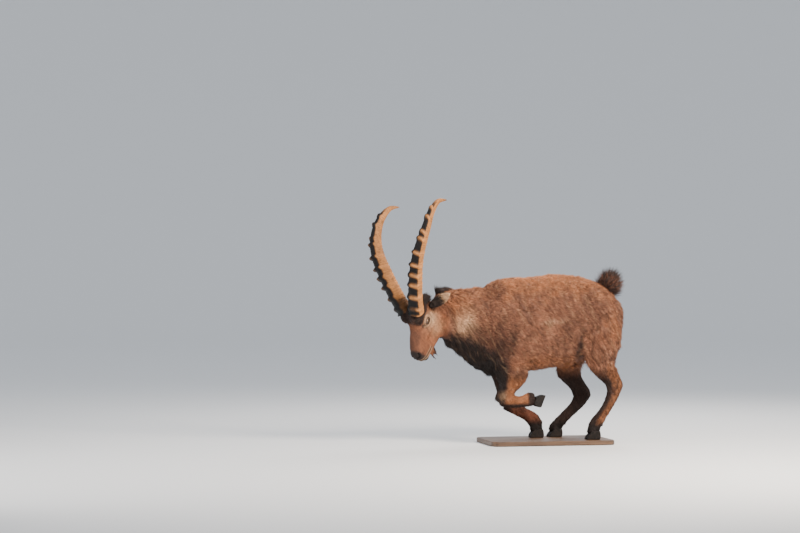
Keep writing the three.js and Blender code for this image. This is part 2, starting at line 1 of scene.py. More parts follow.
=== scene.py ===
"""The looks of a life-size alpine ibex model: skin, coat, horns, eyes, hooves and base.

Metres, +Z up. The animal faces -X, and its left side is towards -Y.
"""

import math

import bmesh
import bpy
import numpy as np
from mathutils import Matrix, Vector


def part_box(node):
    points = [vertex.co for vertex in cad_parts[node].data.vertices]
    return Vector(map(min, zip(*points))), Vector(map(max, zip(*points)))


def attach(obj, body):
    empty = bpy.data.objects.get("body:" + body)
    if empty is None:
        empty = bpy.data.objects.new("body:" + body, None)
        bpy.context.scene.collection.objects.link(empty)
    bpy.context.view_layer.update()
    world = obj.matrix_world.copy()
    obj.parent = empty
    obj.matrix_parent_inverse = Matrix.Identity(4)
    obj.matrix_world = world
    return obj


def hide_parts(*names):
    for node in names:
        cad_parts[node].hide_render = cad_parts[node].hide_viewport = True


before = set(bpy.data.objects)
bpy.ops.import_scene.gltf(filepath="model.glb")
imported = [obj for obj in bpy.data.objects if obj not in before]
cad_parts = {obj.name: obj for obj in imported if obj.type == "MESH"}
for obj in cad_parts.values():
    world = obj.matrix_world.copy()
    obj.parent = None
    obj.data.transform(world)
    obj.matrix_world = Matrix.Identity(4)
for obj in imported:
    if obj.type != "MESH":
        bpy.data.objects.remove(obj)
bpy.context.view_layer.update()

# The floor that the feet stand on: the top of the base
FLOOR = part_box("stand_base")[1].z

# Camera and stage
SENSOR = 36
VIEW_AZIMUTH = math.radians(-12)
VIEW_DISTANCE = 12.0
PHOTO_WIDE = 4.32
AIM_ALONG = -0.783
AIM_HEIGHT = 0.929
FLOOR_FLAT = 16.0
FLOOR_BEND = 9.0
FLOOR_ROWS = 13
FLOOR_SIDES = 96
LIT_POINT = Vector((-0.15, 0, 0.75))
LIGHT_DISTANCE = 3.6
LIGHTS = [
    # name, way to it: right in the photo, towards the camera and up; power, size, colour
    ("key", (0.6, 0.8, 0.6), 330, 1.4, (1, 0.88, 0.74)),
    ("fill", (-0.9, 0.6, 0.3), 60, 3.0, (1, 0.95, 0.9)),
    ("rim", (0.3, -0.9, 0.9), 110, 2.0, (1, 0.95, 0.9)),
]

# Skin
VOXEL = 0.0052
SMOOTH_ROUNDS = 14
HEAD_PITCH = math.radians(70)
HEAD_YAW = math.radians(28)
OCCIPUT = np.array([-0.600, 0.029, 0.752])

# Coat
TUFTS = 170000
PIECE_TUFTS = 45000
UV_PATCH = 0.003
TUFT_THICK = 0.7
TUFT_TAPER = 0.6
ROOT_HALF = 0.5
BODY_HALF = 0.62
# A lock's colour at its root and tip: darker at the root as painted shade deep in the coat, lighter at the
# tip
ROOT_SHADE = 0.68
TIP_SHADE = 1.2
STRAY = 0.16
SEED = 7
TINT = "Tint"
WAVE_COUNT = 12

LEFT = -1
RIGHT = 1
rng = np.random.default_rng(SEED)


def srgb(*channels):
    """A colour given as 0 to 255 in linear light."""
    c = np.array(channels, float) / 255
    return np.where(c <= 0.04045, c / 12.92, ((c + 0.055) / 1.055) ** 2.4)


# The head's own frame: x along the nose from the occiput, y to the right side, z to the forehead
HEAD_LEVEL = np.array([-math.cos(HEAD_YAW), -math.sin(HEAD_YAW), 0])
HEAD_NOSE = HEAD_LEVEL * math.cos(HEAD_PITCH) + np.array([0, 0, -math.sin(HEAD_PITCH)])
HEAD_CROWN = HEAD_LEVEL * math.sin(HEAD_PITCH) + np.array([0, 0, math.cos(HEAD_PITCH)])
HEAD_RIGHT = np.cross(HEAD_CROWN, HEAD_NOSE)
HEAD_AXES = np.array([HEAD_NOSE, HEAD_RIGHT, HEAD_CROWN])


def to_head(points):
    return (points - OCCIPUT) @ HEAD_AXES.T


def from_head(points):
    return np.asarray(points) @ HEAD_AXES + OCCIPUT


def ramp(value, low, high):
    """0 below low, 1 above high and smooth between."""
    t = np.clip((value - low) / (high - low), 0, 1)
    return t * t * (3 - 2 * t)


def fall(value, low, high):
    return 1 - ramp(value, low, high)


def bell(distance):
    """1 at no distance, which falls away smoothly."""
    return np.exp(-np.minimum(distance, 6) ** 2)


def spot(points, centre, radii):
    """1 at a centre and 0 beyond its radii along x, y and z."""
    return bell(np.sqrt((((points - np.array(centre)) / np.array(radii)) ** 2).sum(1)) * 1.2)


def waves(points, size, seed):
    """A smooth random field from -1 to 1 with features of the given size."""
    draw = np.random.default_rng(seed)
    total = np.zeros(len(points))
    for _ in range(WAVE_COUNT):
        way = draw.normal(size=3)
        way *= 2 * math.pi / size / np.linalg.norm(way) * draw.uniform(0.6, 1.5)
        bent = points @ way + 1.3 * np.sin(points @ (way[[1, 2, 0]] * 0.7) + draw.uniform(0, 6))
        total += np.sin(bent + draw.uniform(0, 6))
    return total / math.sqrt(WAVE_COUNT)


def both_sides(points):
    """Points with the sign of y dropped, for what is the same on both sides."""
    return np.stack([points[:, 0], np.abs(points[:, 1]), points[:, 2]], 1)


def mixer(count, start):
    """Rows that start alike, and a function that mixes a new row into them by weight."""
    rows = np.tile(start, (count, 1))

    def mix(weight, new):
        rows[:] += np.clip(weight, 0, 1)[:, None] * (np.asarray(new) - rows)

    return rows, mix


def unit(vectors):
    return vectors / np.maximum(np.linalg.norm(vectors, axis=1, keepdims=True), 1e-9)


# Helpers for meshes
def placed(name, mesh):
    """A smooth object of a mesh, linked to the scene."""
    mesh.polygons.foreach_set("use_smooth", np.full(len(mesh.polygons), True))
    made = bpy.data.objects.new(name, mesh)
    bpy.context.scene.collection.objects.link(made)
    return made


def new_object(name, verts, faces):
    """An object whose faces all have the same number of corners."""
    mesh = bpy.data.meshes.new(name)
    verts = np.asarray(verts, np.float32)
    faces = np.asarray(faces, np.int32)
    corners = faces.shape[1]
    mesh.vertices.add(len(verts))
    mesh.vertices.foreach_set("co", verts.ravel())
    mesh.loops.add(faces.size)
    mesh.loops.foreach_set("vertex_index", faces.ravel())
    mesh.polygons.add(len(faces))
    mesh.polygons.foreach_set("loop_start", np.arange(len(faces), dtype=np.int32) * corners)
    mesh.update(calc_edges=True)
    return placed(name, mesh)


def ball_shape(around, high):
    """Points and faces of a ball of radius 1, the faces sorted, as they come in any order."""
    bm = bmesh.new()
    bmesh.ops.create_uvsphere(bm, u_segments=around, v_segments=high, radius=1)
    verts = np.array([v.co for v in bm.verts])
    faces = [[v.index for v in f.verts] for f in bm.faces]
    bm.free()
    starts = [face.index(min(face)) for face in faces]
    return verts, sorted(face[k:] + face[:k] for face, k in zip(faces, starts, strict=True))


def mixed_object(name, points, faces):
    """An object whose faces may have different numbers of corners."""
    mesh = bpy.data.meshes.new(name)
    mesh.from_pydata(points, [], faces)
    return placed(name, mesh)


def read(items, field, width=1, kind=np.float32):
    """A field of a mesh's parts, as an array with one row for each."""
    values = np.empty(len(items) * width, kind)
    items.foreach_get(field, values)
    return values.reshape(-1, width) if width > 1 else values


def coords(mesh):
    return read(mesh.vertices, "co", 3).astype(float)


def set_coords(mesh, co):
    mesh.vertices.foreach_set("co", co.astype(np.float32).ravel())
    mesh.update()


def normals(mesh):
    return read(mesh.vertices, "normal", 3).astype(float)


def edge_ends(mesh):
    return read(mesh.edges, "vertices", 2, np.int32)


class Smoother:
    """Averages values over the neighbours of each vertex."""

    def __init__(self, mesh):
        self.ends = edge_ends(mesh)
        self.count = len(mesh.vertices)
        self.degree = np.maximum(np.bincount(self.ends.ravel(), minlength=self.count), 1)

    def mean(self, values):
        a, b = self.ends[:, 0], self.ends[:, 1]
        columns = [
            np.bincount(a, values[b, k], self.count) + np.bincount(b, values[a, k], self.count)
            for k in range(values.shape[1])
        ]
        return np.stack(columns, 1) / self.degree[:, None]

    def relax(self, values, rounds, amount=0.6, back=0.0):
        for _ in range(rounds):
            values = values + amount * (self.mean(values) - values)
            if back:
                values = values - back * (self.mean(values) - values)
        return values


def set_look(made, look):
    made.data.materials.clear()
    made.data.materials.append(look)


def set_colour(mesh, colours):
    """Gives each vertex its colour, in linear light."""
    layer = mesh.color_attributes.new(TINT, "FLOAT_COLOR", "POINT")
    rgba = np.ones((len(mesh.vertices), 4), np.float32)
    rgba[:, :3] = colours
    layer.data.foreach_set("color", rgba.ravel())


def remeshed(name, nodes, voxel, grow):
    """One closed skin round copies of the CAD nodes, each grown a little so that they meet."""
    verts = []
    faces = []
    start = 0
    for node in nodes:
        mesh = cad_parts[node].data
        bm = bmesh.new()
        bm.from_mesh(mesh)
        bmesh.ops.remove_doubles(bm, verts=bm.verts, dist=1e-6)
        bmesh.ops.triangulate(bm, faces=bm.faces)
        bm.normal_update()
        verts += [v.co + v.normal * grow for v in bm.verts]
        faces += [[v.index + start for v in f.verts] for f in bm.faces]
        start += len(bm.verts)
        bm.free()
    rough = new_object(name + "_rough", np.array([list(v) for v in verts]), faces)
    remesh = rough.modifiers.new("Remesh", "REMESH")
    remesh.mode = "VOXEL"
    remesh.voxel_size = voxel
    bpy.context.view_layer.update()
    mesh = bpy.data.meshes.new_from_object(rough.evaluated_get(bpy.context.evaluated_depsgraph_get()))
    bpy.data.objects.remove(rough)
    keep_largest(mesh)
    mesh.name = name
    return placed(name, mesh)


def keep_largest(mesh):
    """Deletes all but the largest connected surface."""
    ends = edge_ends(mesh)
    label = np.arange(len(mesh.vertices))
    while True:
        low = np.minimum(label[ends[:, 0]], label[ends[:, 1]])
        new = label.copy()
        np.minimum.at(new, ends[:, 0], low)
        np.minimum.at(new, ends[:, 1], low)
        new = new[new]
        if (new == label).all():
            break
        label = new
    best = np.bincount(label).argmax()
    bm = bmesh.new()
    bm.from_mesh(mesh)
    lost = [v for v, name in zip(bm.verts, label, strict=True) if name != best]
    bmesh.ops.delete(bm, geom=lost, context="VERTS")
    bm.to_mesh(mesh)
    bm.free()
    mesh.update()


# Helpers for materials. An input's name is written with _ for each space.
def set_inputs(made, **values):
    for key, value in values.items():
        made.inputs[key.replace("_", " ")].default_value = value


def material(name, **inputs):
    made = bpy.data.materials.new(name)
    made.use_nodes = True
    tree = made.node_tree
    shader = tree.nodes["Principled BSDF"]
    set_inputs(shader, **inputs)
    return made, tree, shader


def node(tree, kind, settings=None, **inputs):
    made = tree.nodes.new(kind)
    for key, value in (settings or {}).items():
        setattr(made, key, value)
    for key, value in inputs.items():
        socket = made.inputs[key.replace("_", " ")]
        if isinstance(value, bpy.types.NodeSocket):
            tree.links.new(value, socket)
        else:
            socket.default_value = value
    return made


def place_in(tree):
    return node(tree, "ShaderNodeTexCoord").outputs["Object"]


def noise(tree, place, scale, detail, **more):
    return node(tree, "ShaderNodeTexNoise", Vector=place, Scale=scale, Detail=detail, **more).outputs["Fac"]


def spread(tree, value, low, high):
    """A value from 0 to 1 brought to low to high."""
    return node(tree, "ShaderNodeMapRange", Value=value, To_Min=low, To_Max=high).outputs["Result"]


def tinted(tree, shader, tone):
    """The base colour is the mesh's own, times tone."""
    colour = node(tree, "ShaderNodeAttribute", {"attribute_name": TINT})
    mixed = node(tree, "ShaderNodeVectorMath", {"operation": "SCALE"}, Scale=tone)
    tree.links.new(colour.outputs["Color"], mixed.inputs[0])
    tree.links.new(mixed.outputs[0], shader.inputs["Base Color"])


def two_toned(tree, shader, value, *stops):
    """The base colour goes from one colour to another as value rises."""
    colour = node(tree, "ShaderNodeValToRGB", Fac=value)
    for element, (position, shade) in zip(colour.color_ramp.elements, stops, strict=True):
        element.color = (*shade, 1)
        element.position = position
    tree.links.new(colour.outputs["Color"], shader.inputs["Base Color"])


def bumped(tree, shader, height, strength, distance=0.001):
    bump = node(tree, "ShaderNodeBump", Height=height, Strength=strength, Distance=distance)
    tree.links.new(bump.outputs["Normal"], shader.inputs["Normal"])


# The camera, the light and the floor
def turned_to(place, way):
    """The matrix of a camera or a light at a place, which looks against way."""
    return Matrix.Translation(place) @ way.to_track_quat("Z", "Y").to_matrix().to_4x4()


def stage():
    scene = bpy.context.scene
    along = Vector((math.cos(VIEW_AZIMUTH), math.sin(VIEW_AZIMUTH), 0))
    back = Vector((math.sin(VIEW_AZIMUTH), -math.cos(VIEW_AZIMUTH), 0))
    aim = along * AIM_ALONG + Vector((0, 0, FLOOR + AIM_HEIGHT))
    camera_data = bpy.data.cameras.new("camera")
    camera_data.sensor_width = SENSOR
    camera_data.lens = SENSOR * VIEW_DISTANCE / PHOTO_WIDE
    camera = bpy.data.objects.new("camera", camera_data)
    scene.collection.objects.link(camera)
    camera.matrix_world = turned_to(aim + back * VIEW_DISTANCE, back)
    scene.camera = camera

    # A flat floor whose rim curves up far away, so that no horizon shows
    rim = np.linspace(0, math.pi / 2, FLOOR_ROWS)
    rows = [(FLOOR_FLAT + FLOOR_BEND * math.sin(a), FLOOR_BEND * (1 - math.cos(a))) for a in rim]
    around = np.linspace(0, 2 * math.pi, FLOOR_SIDES, endpoint=False)
    verts = [(r * math.cos(a), r * math.sin(a), z) for r, z in rows for a in around] + [(0, 0, 0)]
    faces = [[k, (k + 1) % FLOOR_SIDES, len(verts) - 1] for k in range(FLOOR_SIDES)]
    for row in range(FLOOR_ROWS - 1):
        low = row * FLOOR_SIDES
        for k in range(FLOOR_SIDES):
            n = (k + 1) % FLOOR_SIDES
            faces.append([low + n, low + k, low + FLOOR_SIDES + k, low + FLOOR_SIDES + n])
    floor = mixed_object("floor", verts, faces)
    floor.data.materials.append(material("pale_floor", Base_Color=(0.72, 0.73, 0.74, 1), Roughness=0.9)[0])

    world = bpy.data.worlds.new("world")
    world.use_nodes = True
    set_inputs(world.node_tree.nodes["Background"], Color=(0.82, 0.87, 0.94, 1), Strength=0.95)
    scene.world = world

    for name, (right, near, up), power, size, colour in LIGHTS:
        data = bpy.data.lights.new(name, "AREA")
        data.energy = power
        data.size = size
        data.color = colour
        light = bpy.data.objects.new(name, data)
        way = along * right + back * near + Vector((0, 0, up))
        light.matrix_world = turned_to(LIT_POINT + way.normalized() * LIGHT_DISTANCE, way)
        scene.collection.objects.link(light)


stage()

# Where the parts of the animal are
SKIN_NODES = ["torso", "neck", "head"] + [
    f"{leg}_{part}"
    for leg, parts in {
        "hind_left": ["thigh", "shank", "cannon"],
        "hind_right": ["thigh", "shank", "cannon"],
        "fore_left": ["forearm", "cannon"],
        "fore_right": ["forearm", "cannon"],
    }.items()
    for part in parts
]


def head_share(points):
    """1 on the head, 0 on the neck and body."""
    h = to_head(points)
    edge = np.interp(h[:, 0], [-0.02, 0.05, 0.1, 0.2, 0.25], [0.10, 0.0, -0.088, -0.085, -0.2])
    near = ramp(-points[:, 0], 0.53, 0.56)
    return ramp(h[:, 2] - edge, -0.012, 0.018) * near


def leg_share(points):
    """1 on the lower legs, 0 on the body."""
    return fall(points[:, 2], 0.33, 0.43)


def neck_share(points):
    return ramp(-points[:, 0] - 0.25 * (points[:, 2] - 0.65), 0.36, 0.46) * (1 - head_share(points))


def coat_depth(points):
    """How far the skin lies inside the solids."""
    depth = 0.0085 + 0.002 * neck_share(points)
    depth += (0.0035 - depth) * leg_share(points)
    return depth + (0.0018 - depth) * head_share(points)


def flow(points):
    """The way that the hair lies."""
    way, turn = mixer(len(points), [1.0, 0, -0.42])
    x, y, z = points.T
    turn(neck_share(points), (0.8, 0, -0.65))
    turn(ramp(-x, 0.28, 0.4) * fall(z, 0.5, 0.62), (0.45, 0, -0.9))
    turn(ramp(x, 0.16, 0.3) * fall(z, 0.6, 0.78), (0.25, 0, -1))
    turn(ramp(x, 0.36, 0.43), (0.15, 0, -1))
    low = leg_share(points)
    turn(low, (0, 0, -1))
    fore = low * fall(x, 0.0, 0.03)
    near = ramp(x, -0.27, -0.2) * ramp(-y, 0, 0.03) * fall(z, 0.27, 0.3)
    turn(fore * near, (1, 0, 0))
    turn(fore * ramp(x, -0.2, -0.16) * ramp(y, 0, 0.03), (0.85, 0, -0.55))
    turn(low * ramp(x, 0.1, 0.13) * fall(z, 0.26, 0.3), (-0.45, 0, -0.85))
    turn(head_share(points), -HEAD_NOSE * 0.9 - HEAD_CROWN * 0.35)
    way[:, 2] += 0.35 * waves(points, 0.11, 3) * (1 - low)
    way[:, 0] += 0.18 * waves(points, 0.07, 4)
    return unit(way)


# The form of the skin: muscles, bones and folds over the plain solids
MUSCLES = [
    # centre, radii, height: the same on both sides, by the size of y
    ((-0.235, 0.15, 0.66), (0.09, 0.09, 0.15), 0.010),
    ((-0.19, 0.14, 0.50), (0.09, 0.08, 0.08), 0.009),
    ((-0.085, 0.16, 0.60), (0.045, 0.1, 0.17), -0.010),
    ((-0.33, 0.12, 0.55), (0.05, 0.08, 0.08), -0.007),
    ((0.05, 0.17, 0.56), (0.12, 0.1, 0.13), 0.007),
    ((0.185, 0.15, 0.70), (0.07, 0.08, 0.09), -0.012),
    ((0.20, 0.13, 0.545), (0.035, 0.1, 0.12), -0.016),
    ((0.265, 0.12, 0.82), (0.05, 0.06, 0.04), 0.010),
    ((0.33, 0.13, 0.64), (0.08, 0.1, 0.12), 0.011),
    ((0.29, 0.13, 0.52), (0.06, 0.1, 0.09), 0.008),
]


def body_form(points):
    mirrored = both_sides(points)
    lift = np.zeros(len(points))
    for centre, radii, height in MUSCLES:
        lift += height * spot(mirrored, centre, radii)
    lift *= 1 - head_share(points)
    # Folds of the flank's skin above the belly
    x, _, z = points.T
    folds = np.sin((x + 0.25 * (z - 0.5)) * 2 * math.pi / 0.042 + 2 * waves(points, 0.12, 9))
    band = spot(mirrored, (0.06, 0.16, 0.52), (0.16, 0.12, 0.14))
    lift += 0.0022 * folds * band
    lift += 0.0016 * waves(points, 0.05, 8) * (1 - leg_share(points)) * (1 - head_share(points))
    return lift


# The face, in the head's own frame. Curves are lists of points along the nose and up.
MOUTH = [(0.226, -0.019), (0.25, -0.017), (0.28, -0.012), (0.305, -0.004), (0.326, 0.004)]
NOSTRIL = [(0.296, 0.046), (0.304, 0.036), (0.313, 0.032), (0.318, 0.037)]
EYE_ALONG = 0.119
EYE_UP = 0.076
EYE_LONG = 0.0165
EYE_TALL = 0.0112


def curve_distance(points, curve):
    """The distance in the side view of each point to a curve."""
    flat = points[:, [0, 2]]
    best = np.full(len(points), 1.0)
    for start, end in zip(curve[:-1], curve[1:], strict=True):
        a = np.array(start)
        b = np.array(end) - a
        t = np.clip(((flat - a) @ b) / (b @ b), 0, 1)
        best = np.minimum(best, np.linalg.norm(flat - a - t[:, None] * b, axis=1))
    return best


def eye_ring(h):
    """How far out a point is from the middle of the lids' opening, which is at 1."""
    along = h[:, 0] - EYE_ALONG
    up = h[:, 2] - EYE_UP
    tilt = math.radians(-16)
    u = along * math.cos(tilt) + up * math.sin(tilt)
    v = -along * math.sin(tilt) + up * math.cos(tilt)
    return np.sqrt((u / EYE_LONG) ** 2 + (v / EYE_TALL) ** 2)


def eye_side(h):
    """1 on the sides of the head, where the eyes are."""
    return ramp(np.abs(h[:, 1]), 0.03, 0.045)


def face_form(points):
    h = to_head(points)
    side = ramp(np.abs(h[:, 1]), 0.018, 0.034)
    ring = eye_ring(h)
    lids = 0.0035 * bell((ring - 1.35) / 0.35) - 0.005 * bell((ring - 2.3) / 0.6)
    above = ramp(h[:, 2], EYE_UP, EYE_UP + 0.03)
    lids += 0.004 * above * bell((ring - 2.6) / 0.7)
    lift = lids * side
    mouth = curve_distance(h, MOUTH)
    front = ramp(h[:, 0], 0.222, 0.232)
    lift -= 0.0045 * bell(mouth / 0.0026) * front
    lift += 0.002 * bell((mouth - 0.008) / 0.005) * front
    nostril = curve_distance(h, NOSTRIL)
    off_middle = ramp(np.abs(h[:, 1]), 0.009, 0.014)
    lift -= 0.008 * bell(nostril / 0.0038) * off_middle
    lift += 0.0028 * bell((nostril - 0.0085) / 0.004) * off_middle
    mirrored = both_sides(h)
    # The cheek's muscle, the bone below the eye, the hollow before it and the nose's sides
    lift += 0.004 * spot(mirrored, (0.135, 0.06, -0.035), (0.035, 0.05, 0.045))
    lift += 0.005 * spot(mirrored, (0.165, 0.055, 0.035), (0.045, 0.05, 0.012))
    lift -= 0.005 * spot(mirrored, (0.2, 0.045, 0.01), (0.03, 0.05, 0.022))
    lift -= 0.004 * spot(mirrored, (0.165, 0.05, 0.072), (0.022, 0.05, 0.018))
    lift += 0.003 * spot(mirrored, (0.29, 0.03, 0.02), (0.03, 0.04, 0.02))
    lift -= 0.003 * spot(mirrored, (0.245, 0.04, 0.04), (0.03, 0.04, 0.02))
    lift -= 0.003 * ramp(h[:, 0], 0.295, 0.33)
    return lift * head_share(points)


def make_skin():
    skin = remeshed("skin", SKIN_NODES, VOXEL, 0.0012)
    mesh = skin.data
    smoother = Smoother(mesh)
    co = smoother.relax(coords(mesh), 6, 0.6, 0.58)
    full = smoother.relax(co, SMOOTH_ROUNDS, 0.6, 0.25)
    limb = leg_share(co)[:, None]
    co = full + limb * (co - full)
    set_coords(mesh, co)
    way = smoother.relax(normals(mesh), 4)
    co = co + unit(way) * (body_form(co) - coat_depth(co))[:, None]
    co = smoother.relax(co, 4, 0.5, 0.45)
    set_coords(mesh, co)
    refine_head(mesh)
    co = coords(mesh)
    smoother = Smoother(mesh)
    on_head = head_share(co)[:, None]
    co += on_head * (smoother.relax(co, 4, 0.5, 0.2) - co)
    set_coords(mesh, co)
    co += normals(mesh) * face_form(co)[:, None]
    set_coords(mesh, co)
    return skin


def refine_head(mesh):
    """Halves the mesh's steps on the head."""
    bm = bmesh.new()
    bm.from_mesh(mesh)
    share = head_share(np.array([v.co for v in bm.verts]))
    inside = set(v for v, s in zip(bm.verts, share, strict=True) if s > 0.5)
    edges = [e for e in bm.edges if e.verts[0] in inside and e.verts[1] in inside]
    bmesh.ops.subdivide_edges(bm, edges=edges, cuts=1, use_grid_fill=True)
    bmesh.ops.triangulate(bm, faces=[f for f in bm.faces if len(f.verts) > 4])
    bm.to_mesh(mesh)
    bm.free()
    mesh.polygons.foreach_set("use_smooth", np.full(len(mesh.polygons), True))
    mesh.update()


# Colours of the coat
BACK = srgb(146, 94, 64)
FLANK = srgb(136, 90, 68)
PALE = srgb(206, 164, 128)
DARK = srgb(78, 48, 36)
BLACK = srgb(30, 21, 19)
CREAM = srgb(206, 168, 132)
LEG = srgb(46, 29, 23)
FACE = srgb(142, 88, 60)
TAIL_DARK = srgb(32, 21, 19)
# the red of a painted highlight on the far foreleg
RED_LEG_HIGHLIGHT = srgb(112, 62, 42)
# Heights, and the x at each where the brown of the near hind leg meets its dark front edge
HOCK_LINE = (
    (0.066, 0.118, 0.186, 0.236, 0.28, 0.338, 0.372),
    (0.24, 0.26, 0.308, 0.338, 0.354, 0.342, 0.316),
)
TAN = srgb(170, 108, 70)
LOCK_SIZE = 0.021
LOCK_WAY = np.array([0.54, 0.0, -0.84])
MARKS = [
    # colour, centre, radii, strength: by the size of y
    (TAN, (-0.05, 0.06, 0.90), (0.34, 0.14, 0.07), 0.5),
    (FLANK, (-0.36, 0.12, 0.72), (0.09, 0.2, 0.12), 0.8),
    # painted shade: a dark band across the withers
    (DARK, (-0.30, 0.08, 0.84), (0.05, 0.2, 0.09), 0.55),
    (DARK, (-0.27, 0.16, 0.56), (0.12, 0.2, 0.16), 0.8),
    (DARK, (0.10, 0.16, 0.60), (0.07, 0.2, 0.16), 0.35),
    (PALE, (-0.02, 0.17, 0.655), (0.03, 0.1, 0.018), 0.5),
    (PALE, (0.045, 0.17, 0.66), (0.02, 0.1, 0.014), 0.4),
    (PALE, (-0.46, 0.11, 0.655), (0.055, 0.12, 0.09), 0.85),
    (DARK, (-0.40, 0.12, 0.60), (0.06, 0.2, 0.05), 0.6),
    (DARK, (-0.53, 0.10, 0.70), (0.012, 0.1, 0.05), 0.8),
    (DARK, (0.22, 0.12, 0.76), (0.05, 0.2, 0.06), 0.5),
    (TAN, (-0.50, 0.08, 0.75), (0.08, 0.12, 0.07), 0.6),
    (TAN, (-0.02, 0.1, 0.43), (0.2, 0.2, 0.05), 0.55),
    # painted shadow in the crease between the thigh and the belly
    (BLACK, (0.165, 0.16, 0.52), (0.025, 0.2, 0.10), 0.85),
    (DARK, (0.24, 0.14, 0.68), (0.06, 0.2, 0.1), 0.45),
    # painted highlight: paler tan on the rump and the rear of the thighs
    (TAN, (0.34, 0.1, 0.62), (0.06, 0.2, 0.12), 0.55),
    (CREAM, (0.40, 0.0, 0.62), (0.05, 0.05, 0.12), 0.5),
]


def tint(points):
    """The coat's colour at each point, in linear light."""
    mirrored = both_sides(points)
    x, y, z = points.T
    col, mix = mixer(len(points), FLANK)
    wander = waves(points, 0.09, 21)
    fine = waves(points, 0.025, 22)
    mix(ramp(z + 0.03 * wander, 0.74, 0.86), BACK)
    for colour, centre, radii, strength in MARKS:
        mix(strength * spot(mirrored + 0.012 * wander[:, None], centre, radii) * 1.15, colour)
    # The dark lower neck, brisket and chest between the forelegs
    under = fall(z + 0.02 * wander + 0.35 * (x + 0.45), 0.53, 0.62)
    front = ramp(-x, 0.2, 0.32)
    mix(under * front, BLACK * 1.3)
    mix(leg_share(points) * fall(z, 0.36, 0.46), LEG)
    low = fall(z, 0.32, 0.4)
    near = ramp(-y, 0, 0.03)
    fore = ramp(-x, -0.03, 0.03)
    # The near hind leg is brown behind a dark front edge. The far hind leg keeps the dark leg colour as
    # painted shade.
    middle = np.interp(z, *HOCK_LINE)
    behind = ramp(x - middle, -0.022, 0.002)
    brown = fall(z, 0.38, 0.46) * near * (1 - fore)
    mix(brown * behind * (0.75 + 0.2 * fine), TAN * 0.62)
    mix(spot(points, (0.345, -0.11, 0.285), (0.022, 0.1, 0.035)) * 0.7, DARK * 0.7)
    # The raised foreleg is tan along its top, with a painted highlight on its knee, and the other foreleg
    # has a red stripe of painted highlight.
    raised = near * low * ramp(x, -0.27, -0.24) * fall(x, -0.135, -0.115) * ramp(z, 0.212, 0.232)
    mix(raised * 0.9, TAN * 0.8)
    # a painted highlight on the raised foreleg's knee
    mix(near * spot(points, (-0.268, -0.13, 0.265), (0.022, 0.05, 0.03)) * 0.7, PALE * 0.6)
    # a red stripe of painted highlight on the far foreleg
    stripe = (1 - near) * fore * bell((z - 0.145) / 0.06) * ramp(x, -0.19, -0.16)
    mix(stripe * 0.85, RED_LEG_HIGHLIGHT)
    mix(near * fore * ramp(-x, 0.225, 0.26) * fall(z, 0.42, 0.5) * ramp(z, 0.27, 0.31), BLACK)
    mix(low * fall(z, 0.09, 0.13), BLACK)
    mix(spot(mirrored, (0.33, 0.0, 0.83), (0.05, 0.05, 0.05)), DARK)
    face = face_tint(points)
    share = head_share(points)[:, None]
    col += share * (face - col)
    # Painted shade darkens the gaps between the coat's long locks, and the locks between them are a little
    # paler.
    gaps = streaks(points, LOCK_SIZE, 24)
    body = (1 - share[:, 0]) * (1 - leg_share(points))
    mix(ramp(gaps, 0.25, 0.9) * 0.5 * body * fall(z, 0.82, 0.9), DARK * 0.8)
    mix(ramp(-gaps, 0.4, 1.0) * 0.14 * body, PALE)
    light = 1 + 0.12 * wander + 0.1 * fine + 0.15 * streaks(points, 0.008, 23)
    return np.clip(col * light[:, None], 0.002, 0.9)


def streaks(points, size, seed):
    """Waves drawn out along the lie of the coat's long locks."""
    along = points @ LOCK_WAY
    return waves(points - 0.9 * along[:, None] * LOCK_WAY, size, seed)


def face_tint(points):
    h = to_head(points)
    mirrored = both_sides(h)
    col, mix = mixer(len(points), FACE)
    mix(spot(mirrored, (0.13, 0.06, 0.0), (0.05, 0.06, 0.04)) * 0.8, srgb(184, 136, 100))
    mix(spot(mirrored, (0.10, 0.06, 0.055), (0.052, 0.05, 0.042)) * 0.9, CREAM)
    mix(ramp(h[:, 2], 0.090, 0.106) * fall(h[:, 0], 0.150, 0.172) * 0.95, srgb(34, 24, 22))
    bridge = ramp(h[:, 2] + 0.25 * (h[:, 0] - 0.15), 0.075, 0.095) * ramp(h[:, 0], 0.15, 0.2)
    mix(bridge * 0.55, srgb(70, 46, 38))
    ring = eye_ring(h)
    beside = eye_side(h)
    mix(bell((ring - 1.7) / 0.5) * beside * 0.6, CREAM)
    mix(bell((ring - 2.4) / 0.3) * beside * 0.45, DARK)
    mix(bell((ring - 1.1) / 0.28) * beside, BLACK)
    mix(spot(mirrored, (0.152, 0.05, 0.082), (0.024, 0.03, 0.014)) * 0.8, BLACK * 1.6)
    mix(spot(mirrored, (0.25, 0.03, 0.0), (0.05, 0.05, 0.05)) * 0.35, srgb(96, 58, 42))
    mix(ramp(h[:, 0], 0.278, 0.298) * 0.92, srgb(34, 28, 28))
    mix(bell(curve_distance(h, NOSTRIL) / 0.012) * ramp(h[:, 0], 0.27, 0.29), BLACK)
    mouth = curve_distance(h, MOUTH)
    mix(bell((mouth - 0.007) / 0.004) * ramp(h[:, 0], 0.225, 0.24) * 0.6, CREAM * 0.8)
    mix(bell(mouth / 0.003) * ramp(h[:, 0], 0.225, 0.235), BLACK * 0.7)
    mix(fall(h[:, 2], -0.075, -0.05) * 0.9, DARK * 0.7)
    mix(fall(h[:, 0], 0.03, 0.07) * 0.5, DARK)
    return col


# The unwrap that colours are baked to: the sides, fronts, tops and inner faces laid beside each other
UV_NAME = "OFBake"
UV_SCALE = 0.35
TOP_SCALE = 0.85
SKIN_LOW = np.array([-0.80, -0.20, 0.0])


def chart_axis(ways):
    """0, 1 or 2: the axis that a face looks along, with a lean towards the sides."""
    return np.abs(ways * [0.9, 1.1, 0.9]).argmax(1)


